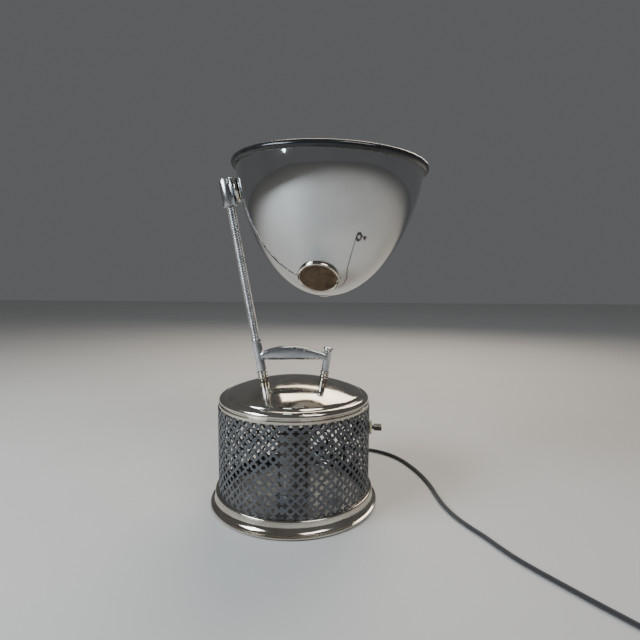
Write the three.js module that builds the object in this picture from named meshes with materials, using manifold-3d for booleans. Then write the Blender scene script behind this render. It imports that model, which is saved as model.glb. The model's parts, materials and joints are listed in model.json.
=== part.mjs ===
// Table-top heat lamp: a ventilated drum base with a domed lid and a carrying handle, a gooseneck
// that rises from the handle's left post, and a deep polished bowl on a friction pivot.
// Millimetres, +Z up, the lamp faces -Y. The origin is the centre of the felt pad's underside.

import * as THREE from 'three';
import { mergeVertices } from 'three/addons/utils/BufferGeometryUtils.js';
import Module from 'manifold-3d';

const wasm = await Module();
wasm.setup();

// ---------------------------------------------------------------- driving dimensions

const GAP = 0.3; // between pieces that touch
const HOLE_CLEARANCE = 0.4; // radial, around a shank in its hole

// base
const DRUM_R = 115;
const DRUM_WALL = 1;
const DRUM_HEIGHT = 140;
const DRUM_LIP = 4.5; // width of the drum's inturned top edge
const FELT_THICKNESS = 2;
const FELT_INSET = 6; // from the plate's edge
const PLATE_THICKNESS = 4.5;
const PLATE_INSET = 3; // from the drum's outer face
const SHEET = 1.5; // spun sheet of the lid and the foot ring
const FOOT_FLARE = 12; // how far the foot ring's lip stands out from the drum
const FOOT_BEAD_R = 2.3;
const FOOT_BEAD_HEIGHT = 21; // of the bead's centre above the table
const FOOT_LIP_HEIGHT = 2; // of the lip's lower edge above the table

// lid
const LID_INSET = 1.3; // the lid's flange inside the drum's outer face
const FLANGE_HEIGHT = 5.3;
const BEAD_HEIGHT = 9.4;
const SHOULDER_WIDTH = 11.9; // from the lid's outer edge to the dome's
const DOME_EDGE_RISE = 18.5; // from the flange's seat to the dome's edge
const DOME_RISE = 19.9;
const SKIRT_DEPTH = 8;
const LID_SCREW_R = 1.3;
const LID_SCREW_LENGTH = 7;
const LID_SCREW_COUNT = 3;
const LID_SCREW_TILT = THREE.MathUtils.degToRad(40); // upwards, square to the bead's shoulder
const FIRST_SCREW_AZIMUTH = THREE.MathUtils.degToRad(-81);

// handle
const POST_LEFT_X = -47.2;
const POST_RIGHT_X = 44.5;
const POST_LEFT_R = 6.9;
const POST_RIGHT_R = 5.8;
const POST_LEFT_HEIGHT = 64;
const POST_RIGHT_HEIGHT = 51;
const POST_RIGHT_LEAN = THREE.MathUtils.degToRad(8.3);
const STUD_R = 4;
const STUD_DEPTH = 14; // of the posts' studs below the lid
const WIRE_BORE_R = 2.5;
const COLLAR_HEIGHT = 13.8;
const COLLAR_STANDOUT = 0.7; // beyond the post
const COLLAR_GROOVE = [0.36, 0.41, 0.47, 0.52]; // of the height, up from the foot
const GRIP_GAP = 27.9; // for the fingers, above the dome's crown
const GRIP_THICKNESS = 20.5; // at the crown of the grip
const GRIP_END_THICKNESS = 10.5;
const GRIP_DEPTH = 15;
const GRIP_CROWN = 0.45; // of the grip's length, from its left end
const GRIP_SADDLE = 2.5; // how far the grip's hollowed ends lap over the posts
const GRIP_PIN_R = 1.6;
const GRIP_PIN_LENGTH = 5;
const GRIP_PIN_RECESS = 0.8; // below the grip's front face
const GRIP_PIN_HEIGHT = 3.7; // above the grip's underside
const GRIP_PIN_LEFT_INSET = 6; // from the post beside it
const GRIP_PIN_RIGHT_INSET = 9.1;

// gooseneck
const NECK_LEAN = THREE.MathUtils.degToRad(10.4); // to the left of vertical
const NECK_LENGTH = 200;
const NECK_R = 6.6;
const NECK_BORE_R = 4;
const NECK_JOINTS = 6;
const NECK_JOINT_GAP = 2.2; // lets a joint bend 16 degrees before the sections meet

// pivot
const BARREL_R = 10.6;
const BARREL_LENGTH = 40.8;
const BARREL_BORE_R = 6;
const BARREL_CAP_THICKNESS = 1.8;
const BARREL_CAP_SPIGOT = 5; // how far the cap reaches into the barrel
const PIVOT_ABOVE_MIDDLE = 1.2; // of the barrel
const DISC_R = 17.2;
const DISC_THICKNESS = 4.1;
const FIXED_DISC_R = 12;
const FIXED_DISC_THICKNESS = 1.8;
const PIVOT_STUD_R = 5;
const PLATE_WASHER_R = 13;
const PLATE_WASHER_THICKNESS = 2.4;
const SPRING_WASHER_R = 9.5;
const SPRING_WASHER_THICKNESS = 1.2;
const NUT_THICKNESS = 5;
const NUT_R = 8.5;
const NUT_CLEARANCE = 0.75; // under the lid's sheet, for its curve

// bowl
const BOWL_R = 136.2; // of the wall where it meets the rim
const BOWL_DEPTH = 185;
const BOWL_FULLNESS = 1.6; // exponents of the bowl's outline
const BOWL_ROUNDNESS = 2.03;
const BOWL_WALL = 1.3;
const BOWL_TILT = THREE.MathUtils.degToRad(1); // forwards about the pivot, at rest
const RIM_OVERHANG = 1.7; // of the rim wire's centre beyond the wall
const RIM_WIRE_R = 4.8;
const PIVOT_BELOW_RIM = 34.5;
const BADGE_R = 29;
const BADGE_RING_WIDTH = 3.6;
const BADGE_STANDOFF = 3;
const BADGE_DEPTH = 5; // of the ring below its seat on the bowl
const BADGE_DISH = [0.8, 1.6, 2.6]; // heights of the disc's back, middle and edge
const BADGE_BELOW_RIM = 157;
const BADGE_AZIMUTH = THREE.MathUtils.degToRad(-98.5);

// lamp holder and bulb
const HOLDER_R = 20;
const HOLDER_CLEARANCE = 0.64; // of its flange above the bowl's inner face
const HOLDER_LENGTH = 42;
const HOLDER_BORE_R = 14;
const HOLDER_FLOOR = 12;
const HOLDER_CAP_R = 8;
const HOLDER_CAP_HEIGHT = 1.6;
const NIPPLE_R = 4.7;
const BULB_CAP_R = 13.2;
const BULB_CAP_LENGTH = 25;
const BULB_R = 40;
const BULB_LENGTH = 94;

// inside the base
const RESISTOR_R = 24;
const RESISTOR_LENGTH = 88;
const RESISTOR_WALL = 7;
const RESISTOR_SEAT_THICKNESS = 4;
const ROD_R = 4;
const LEAD_R = 1.8;
const LEAD_STEP = 8;
const NECK_LEAD = [[62, 26, 30], [52, 30, 75]]; // above the table
const NECK_LEAD_END = [[20, 34, -26.9], [-22, 26, 1.1], [-38, 8, 13.1]]; // from the drum's top
const SWITCH_LEAD = [[64, -26, 26], [72, -34, 50]];
const SWITCH_LEAD_END = [[76, -26, -29.5], [74, -16, -11.5]]; // from the switch's height

// switch and cord exit
const SWITCH_AZIMUTH = THREE.MathUtils.degToRad(-4);
const SWITCH_BELOW_TOP = 35.4; // of the drum
const SWITCH_BUSH_R = 5;
const BEZEL_R = 11;
const BEZEL_THICKNESS = 3.6;
const KEY_LENGTH = 11.5;
const EXIT_AZIMUTH = THREE.MathUtils.degToRad(70);
const EXIT_HEIGHT = 32;
const RELIEF_LENGTH = 24;
const RELIEF_R = 5;

// cord
const CORD_R = 3;
const CORD_INSIDE = 17; // how far the cord reaches inside the drum
const CORD_SIDES = 8;
const CORD_STEP = 14;
const COIL_CENTRE = new THREE.Vector2(415, -285);
const COIL_INNER_R = 25;
const COIL_OUTER_R = 43;
const COIL_HEIGHT = 12;
const TIE_WIDTH = 9;
const TIE_THICKNESS = 1.2;
const TIE_CLEARANCE = 1; // beside the coil, for its curve
const PLUG_R = 14;
const PLUG_LENGTH = 36;
const PLUG_PIN_R = 2.4;
const PLUG_PIN_LENGTH = 19;
const PLUG_PIN_SPACING = 19;

// The cord's way from the strain relief to the coil, and from the coil to the plug.
const CORD_RUN = [
  [50.2, 138, 31.8], [54.5, 149.5, 29], [61, 161, 23], [70, 171, 15.5], [81.5, 179, 9],
  [95, 184.5, 4.8], [109.5, 187, 3.4], [125, 186.8, 3.2], [141, 182.3, 3.2], [158.5, 172.5, 3.2],
  [177, 156, 3.2], [193, 131.5, 3.2], [206, 98.5, 3.2], [215, 65, 3.2], [220.5, 29, 3.2],
  [222, -3, 3.2], [225.5, -39, 3.2], [233.5, -70, 3.2], [245, -96, 3.2], [257, -119, 3.2],
  [267, -142, 3.2], [277.5, -163, 3.2], [290, -183, 3.2], [306, -206, 3.2], [329.5, -239, 3.2],
  [351, -267.5, 3.2], [368.5, -290.3, 3.2],
];
const CORD_TAIL = [[461.5, -283, 3.2], [462.6, -271, 3.2], [466, -257, 3.2], [471.5, -243, 3.2]];

// ---------------------------------------------------------------- sizes that follow

const PLATE_BOTTOM = FELT_THICKNESS + GAP;
const PLATE_TOP = PLATE_BOTTOM + PLATE_THICKNESS;
const FOOT_FLANGE_TOP = PLATE_TOP + GAP + SHEET;
const DRUM_BOTTOM = FOOT_FLANGE_TOP + GAP;
const DRUM_TOP = DRUM_BOTTOM + DRUM_HEIGHT;
const DRUM_INNER_R = DRUM_R - DRUM_WALL;
const PLATE_R = DRUM_R - PLATE_INSET;
const FELT_R = PLATE_R - FELT_INSET;
const SWITCH_HEIGHT = DRUM_TOP - SWITCH_BELOW_TOP;
const LID_R = DRUM_R - LID_INSET;
const DOME_EDGE_R = LID_R - SHOULDER_WIDTH;
const LID_SEAT = DRUM_TOP + GAP;
const BEAD_MID = LID_SEAT + FLANGE_HEIGHT + BEAD_HEIGHT / 2;
const DOME_EDGE = LID_SEAT + DOME_EDGE_RISE;
const DOME_RADIUS = (DOME_EDGE_R ** 2 + DOME_RISE ** 2) / (2 * DOME_RISE);
const DOME_CENTRE = DOME_EDGE + DOME_RISE - DOME_RADIUS;
const GRIP_BOTTOM = DOME_EDGE + DOME_RISE + GRIP_GAP;
const RIM_R = BOWL_R + RIM_OVERHANG;
const BOWL_EDGE_DEPTH = RIM_WIRE_R + GAP; // of the shell's upper edge below the rim wire's centre
const NECK_PITCH = NECK_LENGTH / NECK_JOINTS;
const UP = new THREE.Vector3(0, 0, 1);

// Facets round a solid of revolution.
const LARGE = 52;
const MEDIUM = 24;
const SMALL = 20;
const FINE = 12;

/** Height of the lid's dome at a distance from the lamp's axis. */
function domeHeight(r) {
  return DOME_CENTRE + Math.sqrt(DOME_RADIUS ** 2 - r ** 2);
}

/** Outer radius of the bowl at a depth below the rim. */
function bowlRadius(depth) {
  const share = Math.min(depth / BOWL_DEPTH, 1);
  return BOWL_R * (1 - share ** BOWL_FULLNESS) ** (1 / BOWL_ROUNDNESS);
}

/** Height of the bowl's outer face, from the rim, at a distance from the bowl's axis. */
function bowlFloor(r) {
  return -BOWL_DEPTH * (1 - (r / BOWL_R) ** BOWL_ROUNDNESS) ** (1 / BOWL_FULLNESS);
}

/** Angle of the bowl's wall to the bowl's axis at a depth below the rim. */
function bowlSlope(depth) {
  const step = 0.01;
  return Math.atan((bowlRadius(depth - step) - bowlRadius(depth + step)) / (2 * step));
}

// ---------------------------------------------------------------- materials

const metal = (color, roughness) => new THREE.MeshStandardMaterial({ color, roughness, metalness: 1 });
const matt = (color, roughness) => new THREE.MeshStandardMaterial({ color, roughness, metalness: 0 });
const MATERIALS = {
  mirror: metal(0xc9cdd2, 0.06),
  nickel: metal(0xb9b6ae, 0.18),
  castAluminium: metal(0xa8abb0, 0.38),
  steel: metal(0x85888c, 0.4),
  brass: metal(0xb08d4a, 0.3),
  greyPaint: matt(0x5a5d62, 0.45),
  blackRim: matt(0x1c1d20, 0.25),
  brownLacquer: matt(0x42301f, 0.25),
  felt: matt(0x1f2a24, 0.95),
  ivory: matt(0xe4dcc2, 0.35),
  bakelite: matt(0x17130f, 0.3),
  porcelain: matt(0xe9e7e0, 0.2),
  ceramic: matt(0xc9bfa9, 0.7),
  wire: metal(0x9a8f84, 0.4),
  glass: matt(0xfff1d8, 0.1),
  textile: matt(0x15151a, 0.85),
  rubber: matt(0x121212, 0.7),
};

// ---------------------------------------------------------------- geometry helpers

/** A solid of revolution about Z. The outline runs up on the outside and down on the inside. */
function lathe(outline, segments = MEDIUM) {
  const points = outline.map(([r, z]) => new THREE.Vector2(r, z));
  return new THREE.LatheGeometry(points, segments).rotateX(Math.PI / 2);
}

/** A plain ring or tube about Z. */
function ring(inner, outer, bottom, top, segments = SMALL) {
  const outline = [[inner, bottom], [outer, bottom], [outer, top], [inner, top], [inner, bottom]];
  return lathe(outline, segments);
}

/** A solid cylinder about Z. */
function rod(radius, bottom, top, segments = SMALL) {
  const cylinder = new THREE.CylinderGeometry(radius, radius, top - bottom, segments);
  return cylinder.rotateX(Math.PI / 2).translate(0, 0, (top + bottom) / 2);
}

/** A frame whose Z axis points along a direction, with its origin at a point. */
function frameAt(origin, direction) {
  const turn = new THREE.Quaternion().setFromUnitVectors(UP, direction.clone().normalize());
  return new THREE.Matrix4().compose(origin, turn, new THREE.Vector3(1, 1, 1));
}

/** A copy of a geometry in another frame. */
function placed(geometry, matrix) {
  return geometry.clone().applyMatrix4(matrix);
}

/** The manifold solid of a closed geometry. */
function toSolid(geometry) {
  const bare = geometry.clone();
  bare.deleteAttribute('normal');
  bare.deleteAttribute('uv');
  const merged = mergeVertices(bare, 1e-4);
  const index = merged.getIndex().array;
  const triangles = [];
  for (let i = 0; i < index.length; i += 3) {
    const [a, b, c] = index.subarray(i, i + 3);
    if (a !== b && b !== c && c !== a) triangles.push(a, b, c);
  }
  return new wasm.Manifold(new wasm.Mesh({
    numProp: 3,
    vertProperties: new Float32Array(merged.getAttribute('position').array),
    triVerts: new Uint32Array(triangles),
  }));
}

/** The geometry of a manifold solid. */
function toGeometry(solid) {
  const mesh = solid.getMesh();
  const geometry = new THREE.BufferGeometry();
  geometry.setAttribute('position', new THREE.BufferAttribute(mesh.vertProperties, 3));
  geometry.setIndex(new THREE.BufferAttribute(mesh.triVerts, 1));
  geometry.computeVertexNormals();
  return geometry;
}

/** A geometry with the volumes of the cutters taken out of it. */
function cut(geometry, ...cutters) {
  return toGeometry(cutters.reduce((solid, cutter) => solid.subtract(toSolid(cutter)), toSolid(geometry)));
}

/** Two overlapping geometries joined into one body. */
function joined(first, second) {
  return toGeometry(toSolid(first).add(toSolid(second)));
}

/** Points of an arc in the (r, z) plane. */
function arc(r, z, radius, fromDegrees, toDegrees, steps) {
  const points = [];
  for (let i = 0; i <= steps; i += 1) {
    const angle = THREE.MathUtils.degToRad(fromDegrees + ((toDegrees - fromDegrees) * i) / steps);
    points.push([r + radius * Math.cos(angle), z + radius * Math.sin(angle)]);
  }
  return points;
}

const lamp = new THREE.Group();

/** Adds a named sub-part to a group. */
function add(group, name, geometry, material) {
  const mesh = new THREE.Mesh(geometry, MATERIALS[material]);
  mesh.name = name;
  group.add(mesh);
}

/** Adds a group whose frame is a matrix in its parent. */
function addGroup(parent, matrix) {
  const group = new THREE.Group();
  group.applyMatrix4(matrix);
  parent.add(group);
  return group;
}

// ---------------------------------------------------------------- frames

/** The frame of a handle post: its foot on the dome, its Z axis up the post. */
function postFrame(x, lean) {
  const foot = new THREE.Vector3(x, 0, domeHeight(Math.abs(x)) + GAP);
  return frameAt(foot, new THREE.Vector3(Math.sin(lean), 0, Math.cos(lean)));
}

/** The angle between a post's axis and the dome's normal at its foot. */
function tiltFromDome(frame) {
  const { x } = new THREE.Vector3().setFromMatrixPosition(frame);
  const normal = new THREE.Vector3(x, 0, domeHeight(Math.abs(x)) - DOME_CENTRE);
  return UP.clone().transformDirection(frame).angleTo(normal);
}

/** A frame on the drum's wall whose Z axis points straight out. */
function wallFrame(azimuth, height) {
  const outward = new THREE.Vector3(Math.cos(azimuth), Math.sin(azimuth), 0);
  const origin = outward.clone().multiplyScalar(DRUM_R).setZ(height);
  return frameAt(origin, outward);
}

/** A frame on the bowl's outer face, in the bowl's own frame, whose Z axis points straight out. */
function bowlFaceFrame(azimuth, depth) {
  const slope = bowlSlope(depth);
  const radius = bowlRadius(depth);
  const origin = new THREE.Vector3(radius * Math.cos(azimuth), radius * Math.sin(azimuth), -depth);
  const outward = new THREE.Vector3(
    Math.cos(slope) * Math.cos(azimuth),
    Math.cos(slope) * Math.sin(azimuth),
    -Math.sin(slope),
  );
  return frameAt(origin, outward);
}

const LEFT_POST = postFrame(POST_LEFT_X, -NECK_LEAN);
const RIGHT_POST = postFrame(POST_RIGHT_X, POST_RIGHT_LEAN);
const NECK = LEFT_POST.clone().multiply(new THREE.Matrix4().makeTranslation(0, 0, POST_LEFT_HEIGHT));
const BARREL = NECK.clone().multiply(new THREE.Matrix4().makeTranslation(0, 0, NECK_LENGTH + GAP));

// The pivot's axis is square to the barrel and points at the bowl.
const PIVOT_DIRECTION = new THREE.Vector3(Math.cos(NECK_LEAN), 0, Math.sin(NECK_LEAN));
const PIVOT_ORIGIN = new THREE.Vector3(0, 0, BARREL_LENGTH / 2 + PIVOT_ABOVE_MIDDLE).applyMatrix4(BARREL);
const PIVOT = frameAt(PIVOT_ORIGIN, PIVOT_DIRECTION);

// Distances along the pivot's axis from the barrel's centre.
const FIXED_DISC_FROM = BARREL_R + GAP;
const BOWL_DISC_FROM = FIXED_DISC_FROM + FIXED_DISC_THICKNESS + GAP;
const BOWL_FACE = BOWL_DISC_FROM + DISC_THICKNESS + GAP;

const BOWL = bowlFrame();

/** The bowl's frame: its wall lies square to the pivot's axis, and it is tilted about that axis. */
function bowlFrame() {
  const frame = new THREE.Matrix4().makeRotationY(bowlSlope(PIVOT_BELOW_RIM) - NECK_LEAN);
  const seat = new THREE.Vector3(-bowlRadius(PIVOT_BELOW_RIM), 0, -PIVOT_BELOW_RIM).applyMatrix4(frame);
  frame.setPosition(new THREE.Vector3(0, 0, BOWL_FACE).applyMatrix4(PIVOT).sub(seat));
  const tilt = PIVOT.clone()
    .multiply(new THREE.Matrix4().makeRotationZ(BOWL_TILT))
    .multiply(PIVOT.clone().invert());
  return frame.premultiply(tilt);
}

// ---------------------------------------------------------------- base

function addBase() {
  add(lamp, 'felt_pad', rod(FELT_R, 0, FELT_THICKNESS, LARGE), 'felt');
  add(lamp, 'base_plate', rod(PLATE_R, PLATE_BOTTOM, PLATE_TOP, LARGE), 'steel');
  add(lamp, 'foot_ring', lathe(footOutline(), LARGE), 'nickel');
  add(lamp, 'perforated_drum', drumGeometry(), 'greyPaint');
}

/** The flared foot ring: an inner flange under the drum, a concave skirt and a bead at its top. */
function footOutline() {
  const inner = DRUM_R + GAP;
  const lipR = DRUM_R + FOOT_FLARE;
  const beadR = inner + SHEET + FOOT_BEAD_R / 2;
  const flareTop = FOOT_BEAD_HEIGHT - FOOT_BEAD_R;
  const flareBottom = FOOT_LIP_HEIGHT + SHEET + 1.5;
  const flare = [];
  const steps = 4;
  for (let i = 0; i <= steps; i += 1) {
    const angle = (Math.PI / 2) * (i / steps);
    const r = lipR - 1 - (lipR - 1 - beadR + 0.6) * Math.sin(angle);
    flare.push([r, flareTop - (flareTop - flareBottom) * Math.cos(angle)]);
  }
  return [
    [lipR - 2.6, FOOT_LIP_HEIGHT],
    [lipR - 0.8, FOOT_LIP_HEIGHT],
    [lipR, FOOT_LIP_HEIGHT + 1.2],
    [lipR, FOOT_LIP_HEIGHT + SHEET + 0.6],
    ...flare,
    ...arc(beadR, FOOT_BEAD_HEIGHT, FOOT_BEAD_R, -50, 130, 4),
    [inner, FOOT_BEAD_HEIGHT + FOOT_BEAD_R],
    [inner, FOOT_FLANGE_TOP],
    [inner - 10, FOOT_FLANGE_TOP],
    [inner - 10, FOOT_FLANGE_TOP - SHEET],
    [inner + 1, FOOT_FLANGE_TOP - SHEET],
    [lipR - 4.5, FOOT_LIP_HEIGHT + SHEET + 0.6],
    [lipR - 2.6, FOOT_LIP_HEIGHT],
  ];
}

/** The drum: a tube with an inturned top edge and holes for the switch and the cord. */
function drumGeometry() {
  const tube = lathe([
    [DRUM_INNER_R, DRUM_BOTTOM],
    [DRUM_R, DRUM_BOTTOM],
    [DRUM_R, DRUM_TOP],
    [DRUM_INNER_R - DRUM_LIP, DRUM_TOP],
    [DRUM_INNER_R - DRUM_LIP, DRUM_TOP - DRUM_WALL],
    [DRUM_INNER_R, DRUM_TOP - DRUM_WALL],
    [DRUM_INNER_R, DRUM_BOTTOM],
  ], LARGE);
  const reach = 4 * DRUM_WALL;
  const switchHole = rod(SWITCH_BUSH_R + HOLE_CLEARANCE, -reach, reach);
  const exitHole = rod(RELIEF_R + HOLE_CLEARANCE, -reach, reach);
  return cut(
    tube,
    placed(switchHole, wallFrame(SWITCH_AZIMUTH, SWITCH_HEIGHT)),
    placed(exitHole, wallFrame(EXIT_AZIMUTH, EXIT_HEIGHT)),
  );
}

// ---------------------------------------------------------------- lid

/** The spun lid: a skirt inside the drum, a flat flange, a bead, a step and a shallow dome. */
function lidOutline() {
  const flangeTop = LID_SEAT + FLANGE_HEIGHT;
  const grooveR = LID_R - 1.9;
  const skirtR = DRUM_INNER_R - DRUM_LIP - HOLE_CLEARANCE;
  const beadTop = flangeTop + BEAD_HEIGHT + 1.2;
  return [
    [skirtR, LID_SEAT - SKIRT_DEPTH],
    [skirtR, LID_SEAT],
    [LID_R - 0.5, LID_SEAT],
    [LID_R, LID_SEAT + 1.2],
    [LID_R, flangeTop - 1.2],
    [LID_R - 0.7, flangeTop],
    [grooveR, flangeTop + 0.6],
    [grooveR + 0.1, flangeTop + 1.6],
    [LID_R - 0.7, flangeTop + 2.6],
    [LID_R - 0.3, BEAD_MID],
    [LID_R - 1, BEAD_MID + 2.2],
    [LID_R - 2.8, beadTop - 2],
    [LID_R - 5.4, beadTop - 0.4],
    [LID_R - 8.1, beadTop],
    [DOME_EDGE_R + 1.8, beadTop - 0.3],
    [DOME_EDGE_R + 0.8, DOME_EDGE - 1.8],
    [DOME_EDGE_R, DOME_EDGE],
    ...domeArc(DOME_RADIUS, DOME_EDGE_R, 6).reverse(),
    ...domeArc(DOME_RADIUS - SHEET, DOME_EDGE_R - SHEET, 4),
    [DOME_EDGE_R - 0.2, beadTop - 2],
    [LID_R - 5.8, beadTop - 2],
    [LID_R - 2.6, BEAD_MID + 1.2],
    [LID_R - 3.4, flangeTop + 1],
    [skirtR - SHEET, LID_SEAT + SHEET],
    [skirtR - SHEET, LID_SEAT - SKIRT_DEPTH],
    [skirtR, LID_SEAT - SKIRT_DEPTH],
  ];
}

/** Points of the dome's arc from the axis to just inside its edge. */
function domeArc(radius, edgeR, steps) {
  const points = [];
  for (let i = 0; i < steps; i += 1) {
    const r = (edgeR * i) / steps;
    points.push([r, DOME_CENTRE + Math.sqrt(radius ** 2 - r ** 2)]);
  }
  return points;
}

/** The frame of a lid screw, on the bead's shoulder with its Z axis out and up. */
function lidScrewFrame(number) {
  const azimuth = FIRST_SCREW_AZIMUTH + ((2 * Math.PI) / LID_SCREW_COUNT) * number;
  const outward = new THREE.Vector3(Math.cos(azimuth), Math.sin(azimuth), 0);
  const origin = outward.clone().multiplyScalar(LID_R - 1.9).setZ(BEAD_MID + 3.1);
  const direction = outward.multiplyScalar(Math.cos(LID_SCREW_TILT)).setZ(Math.sin(LID_SCREW_TILT));
  return frameAt(origin, direction);
}

/** A round-headed screw whose head stands just off the lid. */
function lidScrewGeometry() {
  const headR = 1.8 * LID_SCREW_R;
  const seat = 2 * GAP;
  return lathe([
    [0, -LID_SCREW_LENGTH],
    [LID_SCREW_R, -LID_SCREW_LENGTH],
    [LID_SCREW_R, seat],
    [headR, seat],
    [headR * 0.85, seat + 0.9],
    [0, seat + 1.4],
  ], FINE);
}

function addLid() {
  const holes = [
    placed(rod(STUD_R + HOLE_CLEARANCE, -STUD_DEPTH, STUD_DEPTH), LEFT_POST),
    placed(rod(STUD_R + HOLE_CLEARANCE, -STUD_DEPTH, STUD_DEPTH), RIGHT_POST),
  ];
  for (let number = 0; number < LID_SCREW_COUNT; number += 1) {
    const frame = lidScrewFrame(number);
    const reach = LID_SCREW_LENGTH + GAP;
    holes.push(placed(rod(LID_SCREW_R + HOLE_CLEARANCE, -reach, reach, FINE), frame));
    add(addGroup(lamp, frame), `lid_screw_${number + 1}`, lidScrewGeometry(), 'nickel');
  }
  add(lamp, 'drum_lid', cut(lathe(lidOutline(), LARGE), ...holes), 'nickel');
}

// ---------------------------------------------------------------- handle

/** A turned collar with two ribs that clamps a post to the lid. */
function collarGeometry(radius) {
  const bore = STUD_R + HOLE_CLEARANCE;
  const top = COLLAR_HEIGHT;
  const [grooveFrom, floorFrom, floorTo, grooveTo] = COLLAR_GROOVE;
  return lathe([
    [bore, GAP],
    [radius - 0.6, GAP],
    [radius, 1.2],
    [radius, top * grooveFrom],
    [radius - 0.9, top * floorFrom],
    [radius - 0.9, top * floorTo],
    [radius, top * grooveTo],
    [radius, top - 0.9],
    [radius - 0.7, top],
    [bore, top],
    [bore, GAP],
  ], SMALL);
}

/** The left post: a hollow stud below and a hollow column that carries the gooseneck. */
function leftPostGeometry() {
  const shoulder = COLLAR_HEIGHT + GAP;
  return lathe([
    [WIRE_BORE_R, -STUD_DEPTH],
    [STUD_R, -STUD_DEPTH],
    [STUD_R, shoulder],
    [POST_LEFT_R - 0.6, shoulder],
    [POST_LEFT_R, shoulder + 1],
    [POST_LEFT_R, POST_LEFT_HEIGHT - 1],
    [POST_LEFT_R - 0.7, POST_LEFT_HEIGHT],
    [WIRE_BORE_R, POST_LEFT_HEIGHT],
    [WIRE_BORE_R, -STUD_DEPTH],
  ], SMALL);
}

/** The right post: a solid column with a low turned cap. */
function rightPostGeometry() {
  const shoulder = COLLAR_HEIGHT + GAP;
  return lathe([
    [0, -STUD_DEPTH],
    [STUD_R, -STUD_DEPTH],
    [STUD_R, shoulder],
    [POST_RIGHT_R - 0.6, shoulder],
    [POST_RIGHT_R, shoulder + 1],
    [POST_RIGHT_R, POST_RIGHT_HEIGHT - 5.5],
    [POST_RIGHT_R + 1.3, POST_RIGHT_HEIGHT - 3],
    [POST_RIGHT_R + 1.3, POST_RIGHT_HEIGHT - 0.9],
    [POST_RIGHT_R + 0.4, POST_RIGHT_HEIGHT],
    [0, POST_RIGHT_HEIGHT + 0.6],
  ], SMALL);
}

/** The x of a post's axis at a height. */
function postAxisX(frame, height) {
  const foot = new THREE.Vector3().setFromMatrixPosition(frame);
  const axis = UP.clone().transformDirection(frame);
  return foot.x + ((height - foot.z) * axis.x) / axis.z;
}

/** The grip before it is fitted to the posts: flat below, arched above, narrow at both ends. */
function gripBlank() {
  const bevel = GRIP_DEPTH * 0.3;
  const bottom = GRIP_BOTTOM + bevel;
  const endTop = GRIP_BOTTOM + GRIP_END_THICKNESS - bevel;
  const top = GRIP_BOTTOM + GRIP_THICKNESS - bevel;
  const left = postAxisX(LEFT_POST, GRIP_BOTTOM) + POST_LEFT_R - GRIP_SADDLE + bevel;
  const right = postAxisX(RIGHT_POST, GRIP_BOTTOM) - POST_RIGHT_R + GRIP_SADDLE - bevel;
  const along = (share) => left + (right - left) * share;
  const flank = endTop + (top - endTop) * 0.45;
  const shape = new THREE.Shape();
  shape.moveTo(left, bottom);
  shape.lineTo(right, bottom);
  shape.lineTo(right, endTop);
  shape.bezierCurveTo(along(0.85), flank, along(0.68), top, along(GRIP_CROWN), top);
  shape.bezierCurveTo(along(0.2), top, along(0.08), flank, left, endTop);
  const body = new THREE.ExtrudeGeometry(shape, {
    depth: GRIP_DEPTH - 2 * bevel,
    bevelThickness: bevel,
    bevelSize: bevel,
    bevelSegments: 3,
    curveSegments: 8,
    steps: 1,
  });
  return body.rotateX(Math.PI / 2).translate(0, GRIP_DEPTH / 2 - bevel, 0);
}

/** The frames of the two grip pins, on the grip's front face with Z towards the front. */
function gripPinFrames() {
  const height = GRIP_BOTTOM + GRIP_PIN_HEIGHT;
  const front = -GRIP_DEPTH / 2;
  const leftX = postAxisX(LEFT_POST, height) + POST_LEFT_R + GRIP_PIN_LEFT_INSET;
  const rightX = postAxisX(RIGHT_POST, height) - POST_RIGHT_R - GRIP_PIN_RIGHT_INSET;
  const left = new THREE.Vector3(leftX, front, height);
  const right = new THREE.Vector3(rightX, front, height);
  const forward = new THREE.Vector3(0, -1, 0);
  return { left: frameAt(left, forward), right: frameAt(right, forward) };
}

function addHandle() {
  const pins = gripPinFrames();
  const pinHole = rod(GRIP_PIN_R + GAP, -GRIP_PIN_LENGTH - GAP, GRIP_PIN_LENGTH, FINE);
  const grip = cut(
    gripBlank(),
    placed(rod(POST_LEFT_R + GAP, COLLAR_HEIGHT, POST_LEFT_HEIGHT + 4), LEFT_POST),
    placed(rod(POST_RIGHT_R + GAP, COLLAR_HEIGHT, POST_RIGHT_HEIGHT), RIGHT_POST),
    placed(pinHole, pins.left),
    placed(pinHole, pins.right),
  );
  add(lamp, 'handle_grip', grip, 'castAluminium');
  const sides = [
    ['left', LEFT_POST, leftPostGeometry(), POST_LEFT_R],
    ['right', RIGHT_POST, rightPostGeometry(), POST_RIGHT_R],
  ];
  for (const [side, frame, post, postR] of sides) {
    const group = addGroup(lamp, frame);
    add(group, `post_${side}`, post, 'castAluminium');
    add(group, `post_collar_${side}`, collarGeometry(postR + COLLAR_STANDOUT), 'nickel');
    const nutTop = -SHEET - NUT_CLEARANCE - NUT_R * Math.tan(tiltFromDome(frame));
    const nutBore = (STUD_R + HOLE_CLEARANCE) / Math.cos(Math.PI / 6);
    add(group, `post_nut_${side}`, ring(nutBore, NUT_R, nutTop - NUT_THICKNESS, nutTop, 6), 'brass');
    const pin = rod(GRIP_PIN_R, -GRIP_PIN_LENGTH, -GRIP_PIN_RECESS, FINE);
    add(addGroup(lamp, pins[side]), `grip_pin_${side}`, pin, 'steel');
  }
}

// ---------------------------------------------------------------- gooseneck

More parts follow.
